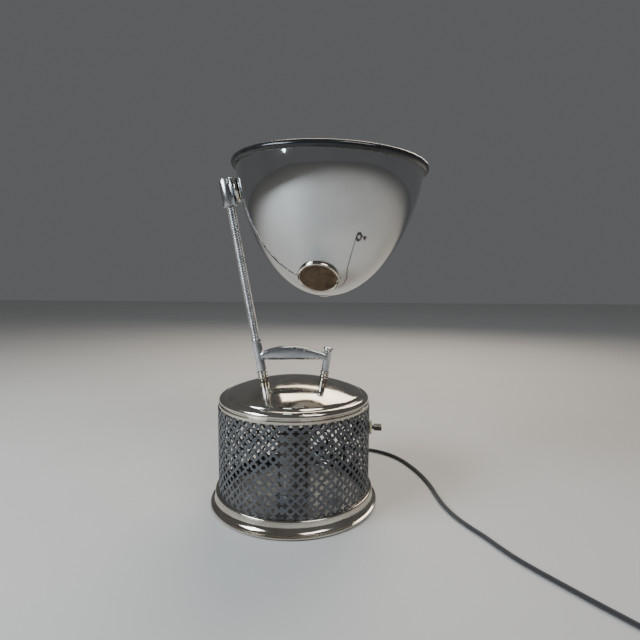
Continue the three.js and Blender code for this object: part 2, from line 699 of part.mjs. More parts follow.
function addNeck() {
  const group = addGroup(lamp, NECK);
  const half = NECK_JOINT_GAP / 2;
  const jointAt = (number) => NECK_PITCH * (number - 0.5);
  add(group, 'neck_foot', ring(NECK_BORE_R, NECK_R, GAP, jointAt(1) - half), 'steel');
  for (let number = 1; number < NECK_JOINTS; number += 1) {
    const section = ring(NECK_BORE_R, NECK_R, jointAt(number) + half, jointAt(number + 1) - half);
    add(group, `neck_section_${number}`, section, 'steel');
  }
  const head = ring(NECK_BORE_R, NECK_R, jointAt(NECK_JOINTS) + half, NECK_LENGTH);
  add(group, 'neck_head', head, 'steel');
}

// ---------------------------------------------------------------- pivot

function addPivot() {
  const barrel = addGroup(lamp, BARREL);
  const capTop = BARREL_LENGTH;
  const tubeTop = capTop - BARREL_CAP_THICKNESS - GAP;
  const spigotFrom = tubeTop - BARREL_CAP_SPIGOT;
  const tube = lathe([
    [BARREL_BORE_R, 0],
    [BARREL_R - 0.8, 0],
    [BARREL_R, 0.8],
    [BARREL_R, tubeTop],
    [BARREL_BORE_R, tubeTop],
    [BARREL_BORE_R, 0],
  ]);
  const toBarrel = BARREL.clone().invert().multiply(PIVOT);
  const studHole = placed(rod(PIVOT_STUD_R + HOLE_CLEARANCE, 1, 2 * BARREL_R), toBarrel);
  add(barrel, 'barrel', cut(tube, studHole), 'castAluminium');
  add(barrel, 'barrel_cap', lathe([
    [0, spigotFrom],
    [BARREL_BORE_R - GAP, spigotFrom],
    [BARREL_BORE_R - GAP, tubeTop + GAP],
    [BARREL_R, tubeTop + GAP],
    [BARREL_R, capTop - 0.8],
    [BARREL_R - 0.8, capTop],
    [0, capTop],
  ]), 'castAluminium');

  const pivot = addGroup(lamp, PIVOT);
  const bore = PIVOT_STUD_R + HOLE_CLEARANCE;
  const inside = BOWL_FACE + BOWL_WALL;
  const plateFrom = inside + 1.6; // clear of the wall's curve
  const plateTo = plateFrom + PLATE_WASHER_THICKNESS;
  const washerFrom = plateTo + GAP;
  const washerTo = washerFrom + SPRING_WASHER_THICKNESS;
  const nutFrom = washerTo + GAP;
  const nutTo = nutFrom + NUT_THICKNESS;
  const nutBore = bore / Math.cos(Math.PI / 6);
  const fixedTo = FIXED_DISC_FROM + FIXED_DISC_THICKNESS;
  add(pivot, 'pivot_stud', ring(WIRE_BORE_R, PIVOT_STUD_R, BARREL_BORE_R, nutTo + 1.5), 'steel');
  add(pivot, 'friction_disc_fixed', ring(bore, FIXED_DISC_R, FIXED_DISC_FROM, fixedTo), 'steel');
  add(pivot, 'friction_disc_bowl', discGeometry(bore), 'nickel');
  add(pivot, 'backing_plate', ring(bore, PLATE_WASHER_R, plateFrom, plateTo), 'steel');
  add(pivot, 'spring_washer', ring(bore, SPRING_WASHER_R, washerFrom, washerTo), 'steel');
  add(pivot, 'pivot_nut', ring(nutBore, NUT_R, nutFrom, nutTo, 6), 'brass');
}

/** The bowl's friction disc, with eased edges. */
function discGeometry(bore) {
  const from = BOWL_DISC_FROM;
  const to = from + DISC_THICKNESS;
  const ease = 0.7;
  return lathe([
    [bore, from],
    [DISC_R - ease, from],
    [DISC_R, from + ease],
    [DISC_R, to - ease],
    [DISC_R - ease, to],
    [bore, to],
    [bore, from],
  ]);
}

// ---------------------------------------------------------------- bowl

/** Outline points of the bowl's face, set in by a distance, from the apex up to the rim. */
function bowlFace(inset, steps) {
  const points = [];
  for (let i = 0; i <= steps; i += 1) {
    const depth = BOWL_DEPTH - (BOWL_DEPTH - BOWL_EDGE_DEPTH) * (1 - Math.cos((Math.PI / 2) * (i / steps)));
    const slope = i === 0 ? Math.PI / 2 : bowlSlope(depth);
    const r = Math.max(bowlRadius(depth) - inset * Math.cos(slope), 0);
    points.push([i === 0 ? 0 : r, -depth + inset * Math.sin(slope)]);
  }
  return points;
}

function bowlShellGeometry() {
  const outer = bowlFace(0, 12);
  const inner = bowlFace(BOWL_WALL, 12);
  const shell = lathe([...outer, ...inner.reverse()], LARGE);
  const studHole = rod(PIVOT_STUD_R + HOLE_CLEARANCE, -10, 10);
  const nippleHole = rod(NIPPLE_R + HOLE_CLEARANCE, -BOWL_DEPTH - 5, -BOWL_DEPTH + 8);
  return cut(shell, placed(studHole, bowlFaceFrame(Math.PI, PIVOT_BELOW_RIM)), nippleHole);
}

/** The badge's plain ring, cut to the bowl's curve. */
function badgeRingGeometry(frame) {
  const inner = BADGE_R - BADGE_RING_WIDTH;
  const blank = lathe([
    [inner, -BADGE_DEPTH],
    [BADGE_R, -BADGE_DEPTH],
    [BADGE_R, BADGE_STANDOFF - 1.5],
    [BADGE_R - 1.2, BADGE_STANDOFF],
    [inner + 1.2, BADGE_STANDOFF],
    [inner, BADGE_STANDOFF - 1.5],
    [inner, -BADGE_DEPTH],
  ]);
  const bowlBlock = lathe([...bowlFace(-GAP, 12), [0, -BOWL_EDGE_DEPTH]], LARGE);
  return cut(blank, placed(bowlBlock, frame.clone().invert()));
}

function addBowl() {
  const bowl = addGroup(lamp, BOWL);
  add(bowl, 'bowl_shell', bowlShellGeometry(), 'mirror');
  const wire = arc(RIM_R, 0, RIM_WIRE_R, -90, 270, 8);
  add(bowl, 'rim_bead', lathe(wire, LARGE), 'blackRim');

  const badgeFrame = bowlFaceFrame(BADGE_AZIMUTH, BADGE_BELOW_RIM);
  const badge = addGroup(bowl, badgeFrame);
  const dishR = BADGE_R - BADGE_RING_WIDTH - GAP;
  const [back, middle, edge] = BADGE_DISH;
  add(badge, 'badge_ring', badgeRingGeometry(badgeFrame), 'nickel');
  add(badge, 'badge_disc', lathe([
    [0, back],
    [dishR, back],
    [dishR, edge],
    [dishR * 0.7, (middle + edge) / 2 - 0.2],
    [0, middle],
  ]), 'brownLacquer');
  addLampHolder(bowl);
}

/** The porcelain holder at the bowl's bottom, its outside cap and the bulb. */
function addLampHolder(bowl) {
  const floor = -BOWL_DEPTH;
  const flangeFrom = bowlFloor(HOLDER_R) + BOWL_WALL + HOLDER_CLEARANCE;
  const flangeTo = flangeFrom + 2;
  add(bowl, 'holder_cap', lathe([
    [0, floor - HOLDER_CAP_HEIGHT],
    [HOLDER_CAP_R * 0.7, floor - HOLDER_CAP_HEIGHT * 0.8],
    [HOLDER_CAP_R, floor - GAP],
    [NIPPLE_R, floor - GAP],
    [NIPPLE_R, flangeTo + 4],
    [0, flangeTo + 4],
  ], SMALL), 'nickel');
  const bore = NIPPLE_R + HOLE_CLEARANCE;
  add(bowl, 'holder_flange', ring(bore, HOLDER_R, flangeFrom, flangeTo), 'steel');
  const holderFrom = flangeTo + GAP;
  const holderTo = holderFrom + HOLDER_LENGTH;
  add(bowl, 'lamp_holder', lathe([
    [bore, holderFrom],
    [HOLDER_R - 1, holderFrom],
    [HOLDER_R - 1, holderTo - 12],
    [HOLDER_R, holderTo - 10],
    [HOLDER_R, holderTo - 1],
    [HOLDER_R - 1, holderTo],
    [HOLDER_BORE_R, holderTo],
    [HOLDER_BORE_R, holderFrom + HOLDER_FLOOR],
    [bore, holderFrom + HOLDER_FLOOR],
    [bore, holderFrom],
  ], SMALL), 'porcelain');
  const capTo = holderTo + 1;
  add(bowl, 'bulb_cap', lathe([
    [0, capTo - BULB_CAP_LENGTH - 2],
    [BULB_CAP_R * 0.4, capTo - BULB_CAP_LENGTH],
    [BULB_CAP_R, capTo - BULB_CAP_LENGTH + 3],
    [BULB_CAP_R, capTo],
    [0, capTo],
  ], SMALL), 'brass');
  const neckR = BULB_CAP_R + 0.4;
  const globe = capTo + BULB_LENGTH - BULB_R;
  add(bowl, 'bulb_glass', lathe([
    [0, capTo + GAP],
    [neckR, capTo + GAP],
    [neckR + 1, capTo + 10],
    [neckR + 9, capTo + 24],
    ...arc(0, globe, BULB_R, -30, 90, 7).slice(0, -1),
    [0, globe + BULB_R],
  ]), 'glass');
}

// ---------------------------------------------------------------- inside the base

function addInside() {
  const floor = PLATE_TOP + GAP;
  const seatTop = floor + RESISTOR_SEAT_THICKNESS;
  const seat = ring(ROD_R + HOLE_CLEARANCE, RESISTOR_R + 6, floor, seatTop);
  add(lamp, 'resistor_bracket', seat, 'steel');
  const formerFrom = seatTop + GAP;
  const formerTo = formerFrom + RESISTOR_LENGTH;
  const neckR = RESISTOR_R - 2;
  add(lamp, 'resistor_former', lathe([
    [RESISTOR_R - RESISTOR_WALL, formerFrom],
    [RESISTOR_R, formerFrom],
    [RESISTOR_R, formerFrom + 6],
    [neckR, formerFrom + 6],
    [neckR, formerTo - 6],
    [RESISTOR_R, formerTo - 6],
    [RESISTOR_R, formerTo],
    [RESISTOR_R - RESISTOR_WALL, formerTo],
    [RESISTOR_R - RESISTOR_WALL, formerFrom],
  ], SMALL), 'ceramic');
  const windingFrom = formerFrom + 8;
  const windingTo = formerTo - 8;
  add(lamp, 'resistor_winding', ring(neckR + GAP, RESISTOR_R + 1.6, windingFrom, windingTo), 'wire');
  add(lamp, 'resistor_rod', lathe([
    [0, floor],
    [ROD_R, floor],
    [ROD_R, formerTo + GAP],
    [RESISTOR_R - 1, formerTo + GAP],
    [RESISTOR_R - 1, formerTo + 2.5],
    [ROD_R + 3, formerTo + 4],
    [ROD_R + 3, formerTo + 8],
    [0, formerTo + 8],
  ], FINE), 'steel');

  const block = new THREE.BoxGeometry(24, 44, 18).translate(62, 0, floor + 9);
  add(lamp, 'terminal_block', block, 'porcelain');
  const neckWay = [...NECK_LEAD, ...raised(NECK_LEAD_END, DRUM_TOP)];
  const switchWay = [...SWITCH_LEAD, ...raised(SWITCH_LEAD_END, SWITCH_HEIGHT)];
  add(lamp, 'neck_lead', tubeAlong(neckWay, LEAD_R, CORD_SIDES, LEAD_STEP), 'textile');
  add(lamp, 'switch_lead', tubeAlong(switchWay, LEAD_R, CORD_SIDES, LEAD_STEP), 'textile');
}

/** Points moved up by a height. */
function raised(points, height) {
  return points.map(([x, y, z]) => [x, y, z + height]);
}

/** A closed tube along a smooth path. */
function tubeAlong(points, radius, sides, step) {
  const path = new THREE.CatmullRomCurve3(points.map((point) => new THREE.Vector3(...point)));
  const section = new THREE.Shape();
  for (let i = 0; i < sides; i += 1) {
    const angle = (2 * Math.PI * i) / sides;
    section[i === 0 ? 'moveTo' : 'lineTo'](radius * Math.cos(angle), radius * Math.sin(angle));
  }
  section.closePath();
  const steps = Math.ceil(path.getLength() / step);
  return new THREE.ExtrudeGeometry(section, { extrudePath: path, steps, bevelEnabled: false });
}

// ---------------------------------------------------------------- switch and cord

function addSwitch() {
  const group = addGroup(lamp, wallFrame(SWITCH_AZIMUTH, SWITCH_HEIGHT));
  const bodyTop = -DRUM_WALL - 0.9;
  const bezelTop = GAP + BEZEL_THICKNESS;
  add(group, 'switch_body', lathe([
    [0, bodyTop - 24],
    [10.5, bodyTop - 24],
    [10.5, bodyTop],
    [SWITCH_BUSH_R, bodyTop],
    [SWITCH_BUSH_R, bezelTop + 0.4],
    [0, bezelTop + 0.4],
  ], SMALL), 'bakelite');
  const bore = SWITCH_BUSH_R + HOLE_CLEARANCE;
  add(group, 'switch_bezel', lathe([
    [bore, GAP],
    [BEZEL_R, GAP],
    [BEZEL_R, GAP + BEZEL_THICKNESS * 0.6],
    [BEZEL_R - 1.4, bezelTop],
    [bore, bezelTop],
    [bore, GAP],
  ]), 'ivory');
  const keyFrom = bezelTop + 0.4 + GAP;
  const neck = rod(3.4, keyFrom, keyFrom + 4, FINE);
  const wing = new THREE.BoxGeometry(6, 13, KEY_LENGTH).translate(0, 0, keyFrom + 2.4 + KEY_LENGTH / 2);
  add(group, 'switch_key', joined(neck, wing), 'bakelite');
}

function addCordExit() {
  const group = addGroup(lamp, wallFrame(EXIT_AZIMUTH, EXIT_HEIGHT));
  const bore = CORD_R + GAP;
  add(group, 'strain_relief', lathe([
    [bore, -8],
    [RELIEF_R, -8],
    [RELIEF_R, 0.5],
    [RELIEF_R + 2.2, 0.5],
    [RELIEF_R + 2.2, 2.2],
    [RELIEF_R, 3],
    [bore + 0.6, RELIEF_LENGTH],
    [bore, RELIEF_LENGTH],
    [bore, -8],
  ], SMALL), 'rubber');
  const inner = DRUM_WALL + 8;
  add(group, 'cord_clamp', ring(bore, 8, -inner - 5, -inner), 'steel');
}

/** A strap over the coil with a leg down each side of it. */
function tieGeometry() {
  const midR = (COIL_INNER_R + COIL_OUTER_R) / 2;
  const opening = COIL_OUTER_R - COIL_INNER_R + 2 * TIE_CLEARANCE;
  const top = COIL_HEIGHT + GAP + TIE_THICKNESS;
  const strap = new THREE.BoxGeometry(TIE_WIDTH, opening + 2 * TIE_THICKNESS, top - GAP);
  strap.translate(0, 0, (top + GAP) / 2);
  const hollow = new THREE.BoxGeometry(TIE_WIDTH + 2, opening, 2 * (COIL_HEIGHT + GAP));
  return cut(strap, hollow).translate(COIL_CENTRE.x, COIL_CENTRE.y - midR, 0);
}

function addCord() {
  const exit = wallFrame(EXIT_AZIMUTH, EXIT_HEIGHT);
  const inside = [-CORD_INSIDE, 0, RELIEF_LENGTH / 2, RELIEF_LENGTH];
  const straight = inside.map((reach) => new THREE.Vector3(0, 0, reach).applyMatrix4(exit).toArray());
  const way = [...straight, ...CORD_RUN];
  add(lamp, 'cord_run', tubeAlong(way, CORD_R, CORD_SIDES, CORD_STEP), 'textile');
  add(lamp, 'cord_tail', tubeAlong(CORD_TAIL, CORD_R, CORD_SIDES, CORD_STEP), 'textile');
  const coil = ring(COIL_INNER_R, COIL_OUTER_R, CORD_R * 0.07, COIL_HEIGHT, MEDIUM);
  add(lamp, 'cord_coil', coil.translate(COIL_CENTRE.x, COIL_CENTRE.y, 0), 'textile');
  add(lamp, 'cord_tie', tieGeometry(), 'rubber');
  addPlug();
}

/** The plug at the cord's end, lying on the table. */
function addPlug() {
  const last = new THREE.Vector3(...CORD_TAIL.at(-1));
  const direction = last.clone().sub(new THREE.Vector3(...CORD_TAIL.at(-2))).normalize();
  const group = addGroup(lamp, frameAt(last.setZ(PLUG_R + GAP / 2), direction));
  add(group, 'plug_body', lathe([
    [0, GAP],
    [CORD_R + 2, GAP],
    [CORD_R + 3.5, PLUG_LENGTH * 0.3],
    [PLUG_R, PLUG_LENGTH * 0.55],
    [PLUG_R, PLUG_LENGTH],
    [0, PLUG_LENGTH],
  ], SMALL), 'bakelite');
  for (const [number, side] of [[1, -1], [2, 1]]) {
    const pin = rod(PLUG_PIN_R, PLUG_LENGTH + GAP, PLUG_LENGTH + GAP + PLUG_PIN_LENGTH, FINE);
    const offset = (side * PLUG_PIN_SPACING) / 2;
    add(group, `plug_pin_${number}`, pin.translate(0, offset, 0), 'brass');
  }
}

addBase();
addLid();
addHandle();
addNeck();
addPivot();
addBowl();
addInside();
addSwitch();
addCordExit();
addCord();

export default lamp;
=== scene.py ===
"""A table-top heat lamp: vented drum base, domed lid with a carrying handle, gooseneck and polished bowl.

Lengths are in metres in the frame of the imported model. Outlines are (radius, height) points in millimetres,
which run up the outside of a piece and down its inside.
"""

import json
import math

import bmesh
import bpy
from mathutils import Matrix, Vector
from mathutils.geometry import delaunay_2d_cdt


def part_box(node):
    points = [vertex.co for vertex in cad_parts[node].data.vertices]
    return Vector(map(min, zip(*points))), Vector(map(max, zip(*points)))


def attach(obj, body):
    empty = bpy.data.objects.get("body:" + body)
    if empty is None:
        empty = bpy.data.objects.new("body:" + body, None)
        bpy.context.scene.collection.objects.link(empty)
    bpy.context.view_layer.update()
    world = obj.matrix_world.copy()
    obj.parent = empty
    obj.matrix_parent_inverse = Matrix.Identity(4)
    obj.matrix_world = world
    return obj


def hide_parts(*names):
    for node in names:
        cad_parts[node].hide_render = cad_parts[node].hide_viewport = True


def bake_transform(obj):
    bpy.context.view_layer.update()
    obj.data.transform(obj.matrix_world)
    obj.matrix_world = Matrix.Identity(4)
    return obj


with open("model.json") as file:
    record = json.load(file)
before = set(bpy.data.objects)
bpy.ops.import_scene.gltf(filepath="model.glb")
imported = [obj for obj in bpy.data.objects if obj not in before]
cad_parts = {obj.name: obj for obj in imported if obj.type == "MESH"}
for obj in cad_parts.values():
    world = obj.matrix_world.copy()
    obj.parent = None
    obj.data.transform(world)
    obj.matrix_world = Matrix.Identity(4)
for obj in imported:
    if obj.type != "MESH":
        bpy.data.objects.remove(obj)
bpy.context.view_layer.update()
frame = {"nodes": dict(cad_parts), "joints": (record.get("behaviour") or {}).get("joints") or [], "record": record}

MM = 0.001
JOINTS = {joint["name"]: joint for joint in frame["joints"]}
UP = Vector((0, 0, 1))


# ---------------------------------------------------------------- the frame's sizes

def joint_place(name):
    """Where a joint is, in metres."""
    return Vector(JOINTS[name]["pos_m"])


def box_centre(node):
    low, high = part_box(node)
    return (low + high) / 2


def frame_along(origin, direction):
    """A matrix whose Z axis points along a direction and whose Y axis stays level where it can."""
    turn = UP.rotation_difference(direction.normalized())
    return Matrix.Translation(origin) @ turn.to_matrix().to_4x4()


DRUM_LOW, DRUM_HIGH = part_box("perforated_drum")
LID_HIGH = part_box("drum_lid")[1]
FOOT_LOW, FOOT_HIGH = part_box("foot_ring")
DRUM_R = DRUM_HIGH.x / MM
LID_R = LID_HIGH.x / MM
FOOT_R = FOOT_HIGH.x / MM

NECK_DIRECTION = (joint_place("neck_nod_3") - joint_place("neck_sway_1")).normalized()
NECK_PITCH = (joint_place("neck_nod_3") - joint_place("neck_sway_1")).length / 5
NECK_FOOT = joint_place("neck_sway_1") - NECK_DIRECTION * NECK_PITCH / 2
NECK_R = 6.5
NECK_LEAN = math.atan2(-NECK_DIRECTION.x, NECK_DIRECTION.z)
PIVOT_DIRECTION = Vector(JOINTS["bowl_tilt"]["axis"]).normalized()
PIVOT_CENTRE = joint_place("bowl_tilt")

RIM_R = 137.9
RIM_WIRE_R = 4.8
BOWL_R = 136.2
BOWL_DEPTH = 185
BOWL_FULLNESS = 1.6
BOWL_ROUNDNESS = 2.03
BOWL_WALL = 1.3
BOWL_TILT = math.radians(1)
PIVOT_BELOW_RIM = 34.5

CORD_DIAMETER = 0.006
CORD_LIE = 0.0032  # height of the cord's centre where it lies on the table


# ---------------------------------------------------------------- camera

CAMERA_PLACE = (0.03845, -0.6787, 0.33726)
CAMERA_PITCH = math.radians(5.134)
CAMERA_ROLL = math.radians(0.404)
CAMERA_LENS = 25.31


def make_camera():
    camera = bpy.data.objects.new("camera", bpy.data.cameras.new("camera"))
    camera.data.lens = CAMERA_LENS
    camera.data.clip_start = 0.01
    tilt = Matrix.Rotation(math.pi / 2 - CAMERA_PITCH, 4, "X")
    roll = Matrix.Rotation(CAMERA_ROLL, 4, "Z")
    camera.matrix_world = Matrix.Translation(CAMERA_PLACE) @ tilt @ roll
    bpy.context.collection.objects.link(camera)
    bpy.context.scene.camera = camera


# ---------------------------------------------------------------- mesh helpers

def new_piece(name, vertices, faces, material, sharp=40):
    """A mesh object, shaded smooth except along edges sharper than an angle in degrees."""
    mesh = bpy.data.meshes.new(name)
    mesh.from_pydata([tuple(v) for v in vertices], [], faces)
    mesh.shade_smooth()
    mesh.set_sharp_from_angle(angle=math.radians(sharp))
    mesh.materials.append(material)
    piece = bpy.data.objects.new(name, mesh)
    bpy.context.collection.objects.link(piece)
    return piece


def turned(name, outline, place, material, segments=96):
    """A piece turned about the Z axis of a frame, from an outline in millimetres."""
    closed = outline[0] == outline[-1]
    points = outline[:-1] if closed else outline
    rings = []
    vertices = []
    for radius, height in points:
        if radius < 1e-6:
            rings.append([len(vertices)] * segments)
            vertices.append(place @ Vector((0, 0, height * MM)))
            continue
        rings.append(list(range(len(vertices), len(vertices) + segments)))
        for i in range(segments):
            angle = math.tau * i / segments
            point = Vector((radius * math.cos(angle), radius * math.sin(angle), height)) * MM
            vertices.append(place @ point)
    if closed:
        rings.append(rings[0])
    faces = []
    for below, above in zip(rings, rings[1:]):
        for i in range(segments):
            j = (i + 1) % segments
            corners = [below[i], below[j], above[j], above[i]]
            face = [c for k, c in enumerate(corners) if c not in corners[:k]]
            if len(face) > 2:
                faces.append(face)
    return new_piece(name, vertices, faces, material)


def arc(r, z, radius, start, end, steps):
    """Points of an arc in an outline, between two angles in degrees."""
    points = []
    for i in range(steps + 1):
        angle = math.radians(start + (end - start) * i / steps)
        points.append((r + radius * math.cos(angle), z + radius * math.sin(angle)))
    return points


def finished(piece, body, slot, *nodes):
    """Mounts a piece on its body in the place of CAD nodes."""
    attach(piece, body)
    if nodes:
        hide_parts(*nodes)
    return piece


# ---------------------------------------------------------------- material helpers

class Paint:
    """A new material with short calls for the nodes that the materials here share."""

    def __init__(self, name, color, roughness, metallic=0.0):
        self.material = bpy.data.materials.new(name)
        self.material.use_nodes = True
        self.nodes = self.material.node_tree.nodes
        self.links = self.material.node_tree.links
        self.shader = self.nodes["Principled BSDF"]
        self.set("Base Color", (*color, 1))
        self.set("Roughness", roughness)
        self.set("Metallic", metallic)
        self.coordinates = self.nodes.new("ShaderNodeTexCoord")

    def set(self, socket, value):
        self.shader.inputs[socket].default_value = value

    def link(self, output, target):
        self.links.new(output, target)

    def noise(self, scale, detail=4.0, stretch=None):
        """The grey output of a noise texture."""
        texture = self.nodes.new("ShaderNodeTexNoise")
        texture.inputs["Scale"].default_value = scale
        texture.inputs["Detail"].default_value = detail
        vector = self.coordinates.outputs["Object"]
        if stretch:
            mapping = self.nodes.new("ShaderNodeMapping")
            mapping.inputs["Scale"].default_value = stretch
            self.link(vector, mapping.inputs["Vector"])
            vector = mapping.outputs["Vector"]
        self.link(vector, texture.inputs["Vector"])
        return texture.outputs["Fac"]

    def ramp(self, value, *stops):
        """A colour ramp over a grey value; each stop is (position, colour or grey)."""
        ramp = self.nodes.new("ShaderNodeValToRGB")
        elements = ramp.color_ramp.elements
        while len(elements) < len(stops):
            elements.new(0.5)
        for element, (position, shade) in zip(elements, stops):
            color = shade if isinstance(shade, tuple) else (shade, shade, shade)
            element.position = position
            element.color = (*color, 1)
        self.link(value, ramp.inputs["Fac"])
        return ramp.outputs["Color"]

    def color(self, value, *stops):
        self.link(self.ramp(value, *stops), self.shader.inputs["Base Color"])

    def rough(self, value, low, high):
        """Roughness that runs from low to high over the middle of a noise value."""
        self.link(self.ramp(value, (0.3, low), (0.7, high)), self.shader.inputs["Roughness"])

    def bump(self, value, strength, distance):
        """Adds a bump on top of those already there."""
        bump = self.nodes.new("ShaderNodeBump")
        bump.inputs["Strength"].default_value = strength
        bump.inputs["Distance"].default_value = distance
        self.link(value, bump.inputs["Height"])
        normal = self.shader.inputs["Normal"]
        if normal.is_linked:
            self.link(normal.links[0].from_socket, bump.inputs["Normal"])
        self.link(bump.outputs["Normal"], normal)


# ---------------------------------------------------------------- materials

def mirror_polish():
    """Spun reflector metal: a near mirror with faint smears and hairline rings."""
    paint = Paint("mirror_polish", (0.60, 0.605, 0.60), 0.05, 1.0)
    paint.color(paint.noise(14), (0.3, (0.55, 0.556, 0.554)), (0.7, (0.64, 0.645, 0.64)))
    paint.rough(paint.noise(45), 0.03, 0.08)
    paint.bump(paint.noise(900, 2.0, stretch=(0.2, 0.2, 3.0)), 0.02, 0.0002)
    return paint.material


def polished_plate():
    """Nickel plate with turning marks, a warm cast and dull patches of age."""
    paint = Paint("polished_plate", (0.66, 0.61, 0.53), 0.1, 1.0)
    paint.color(paint.noise(22, 6.0), (0.32, (0.50, 0.45, 0.38)), (0.62, (0.70, 0.655, 0.58)))
    paint.rough(paint.noise(60, 6.0), 0.05, 0.14)
    paint.bump(paint.noise(700, 2.0, stretch=(0.3, 0.3, 4.0)), 0.04, 0.0002)
    return paint.material


def cast_aluminium():
    """A buffed casting with a faint orange-peel skin."""
    paint = Paint("cast_aluminium", (0.55, 0.56, 0.58), 0.22, 1.0)
    paint.color(paint.noise(60, 5.0), (0.35, (0.42, 0.43, 0.45)), (0.65, (0.62, 0.63, 0.65)))
    paint.rough(paint.noise(150, 5.0), 0.14, 0.3)
    paint.bump(paint.noise(420, 4.0), 0.1, 0.0003)
    return paint.material


def spring_wire():
    """Plated wire, bright on its crowns and dull in its grooves."""
    paint = Paint("spring_wire", (0.55, 0.55, 0.56), 0.22, 1.0)
    paint.color(paint.noise(90), (0.3, (0.4, 0.4, 0.41)), (0.7, (0.62, 0.62, 0.63)))
    paint.rough(paint.noise(260), 0.14, 0.3)
    return paint.material


def plain_steel():
    paint = Paint("plain_steel", (0.5, 0.51, 0.53), 0.4, 1.0)
    paint.color(paint.noise(70, 5.0), (0.3, (0.38, 0.38, 0.39)), (0.7, (0.56, 0.57, 0.59)))
    paint.rough(paint.noise(200), 0.28, 0.5)
    return paint.material


def old_brass():
    paint = Paint("old_brass", (0.62, 0.47, 0.22), 0.32, 1.0)
    paint.color(paint.noise(80, 5.0), (0.3, (0.42, 0.30, 0.13)), (0.7, (0.72, 0.56, 0.28)))
    paint.rough(paint.noise(160), 0.2, 0.45)
    return paint.material


def grey_enamel():
    """Stoved grey enamel on pressed sheet, with dust and small wear."""
    paint = Paint("grey_enamel", (0.1, 0.105, 0.115), 0.4, 0.3)
    paint.color(paint.noise(55, 6.0), (0.3, (0.075, 0.08, 0.088)), (0.7, (0.125, 0.13, 0.14)))
    paint.rough(paint.noise(120, 4.0), 0.3, 0.52)
    paint.bump(paint.noise(800, 3.0), 0.08, 0.0002)
    return paint.material


def black_enamel():
    """The rim's glossy dark enamel."""
    paint = Paint("black_enamel", (0.012, 0.012, 0.014), 0.15)
    paint.color(paint.noise(50), (0.3, (0.008, 0.008, 0.01)), (0.7, (0.022, 0.023, 0.026)))
    paint.rough(paint.noise(140), 0.1, 0.22)
    return paint.material


def brown_lacquer():
    """Dark bronze-brown over bright metal: the brown is a painted reflection of warm wall light, with random tone
    from noise.
    """
    paint = Paint("brown_lacquer", (0.16, 0.11, 0.07), 0.25, 0.6)
    paint.color(paint.noise(90, 5.0), (0.3, (0.10, 0.068, 0.042)), (0.7, (0.22, 0.155, 0.10)))
    paint.rough(paint.noise(150), 0.16, 0.36)
    return paint.material


def felt():
    paint = Paint("felt", (0.03, 0.05, 0.04), 0.95)
    paint.color(paint.noise(500, 6.0), (0.3, (0.018, 0.03, 0.024)), (0.7, (0.05, 0.075, 0.06)))
    paint.bump(paint.noise(1500, 4.0), 0.6, 0.0006)
    return paint.material


def ivory_plastic():
    paint = Paint("ivory_plastic", (0.72, 0.66, 0.50), 0.32)
    paint.color(paint.noise(120), (0.3, (0.62, 0.55, 0.39)), (0.7, (0.76, 0.70, 0.55)))
    paint.rough(paint.noise(300), 0.24, 0.42)
    return paint.material


def dark_plastic():
    """Dark brown moulding with a faint mottle."""
    paint = Paint("dark_plastic", (0.02, 0.014, 0.01), 0.28)
    paint.color(paint.noise(150, 5.0), (0.35, (0.012, 0.009, 0.007)), (0.65, (0.04, 0.026, 0.018)))
    paint.rough(paint.noise(260), 0.18, 0.4)
    return paint.material


def glazed_porcelain():
    paint = Paint("glazed_porcelain", (0.82, 0.80, 0.75), 0.15)
    paint.color(paint.noise(60), (0.3, (0.76, 0.74, 0.68)), (0.7, (0.85, 0.83, 0.79)))
    paint.rough(paint.noise(200), 0.1, 0.24)
    return paint.material


def raw_ceramic():
    paint = Paint("raw_ceramic", (0.55, 0.5, 0.4), 0.8)
    paint.color(paint.noise(90, 6.0), (0.3, (0.44, 0.39, 0.3)), (0.7, (0.62, 0.57, 0.47)))
    paint.bump(paint.noise(600, 4.0), 0.3, 0.0004)
    return paint.material


def resistance_wire():
    paint = Paint("resistance_wire", (0.4, 0.36, 0.32), 0.45, 1.0)
    paint.color(paint.noise(90, 5.0), (0.3, (0.26, 0.22, 0.19)), (0.7, (0.5, 0.45, 0.4)))
    wave = paint.nodes.new("ShaderNodeTexWave")
    wave.bands_direction = "Z"
    wave.inputs["Scale"].default_value = 160
    paint.link(paint.coordinates.outputs["Object"], wave.inputs["Vector"])
    paint.bump(wave.outputs["Fac"], 0.8, 0.001)
    return paint.material


def lit_glass():
    """Frosted glass, lit warmly from inside."""
    paint = Paint("lit_glass", (1.0, 0.93, 0.8), 0.35)
    glow = paint.ramp(paint.noise(30), (0.3, (1.0, 0.62, 0.28)), (0.7, (1.0, 0.74, 0.42)))
    paint.link(glow, paint.shader.inputs["Emission Color"])
    paint.set("Emission Strength", 6.0)
    return paint.material


def braided_textile():
    """Black braid: two crossed sets of fine ribs along the cord, from its UV map."""
    paint = Paint("braided_textile", (0.02, 0.02, 0.022), 0.85)
    ribs = []
    for lean in (1, -1):
        wave = paint.nodes.new("ShaderNodeTexWave")
        wave.bands_direction = "DIAGONAL"
        wave.inputs["Scale"].default_value = 1.0
        mapping = paint.nodes.new("ShaderNodeMapping")
        mapping.inputs["Scale"].default_value = (700.0, 12.0 * lean, 0.0)
        paint.link(paint.coordinates.outputs["UV"], mapping.inputs["Vector"])
        paint.link(mapping.outputs["Vector"], wave.inputs["Vector"])
        ribs.append(wave.outputs["Fac"])
    cross = paint.nodes.new("ShaderNodeMath")
    cross.operation = "MAXIMUM"
    for rib, socket in zip(ribs, cross.inputs):
        paint.link(rib, socket)
    paint.color(cross.outputs["Value"], (0.2, (0.008, 0.008, 0.01)), (0.9, (0.05, 0.05, 0.055)))
    paint.bump(cross.outputs["Value"], 0.7, 0.0005)
    paint.set("Sheen Weight", 0.3)
    return paint.material


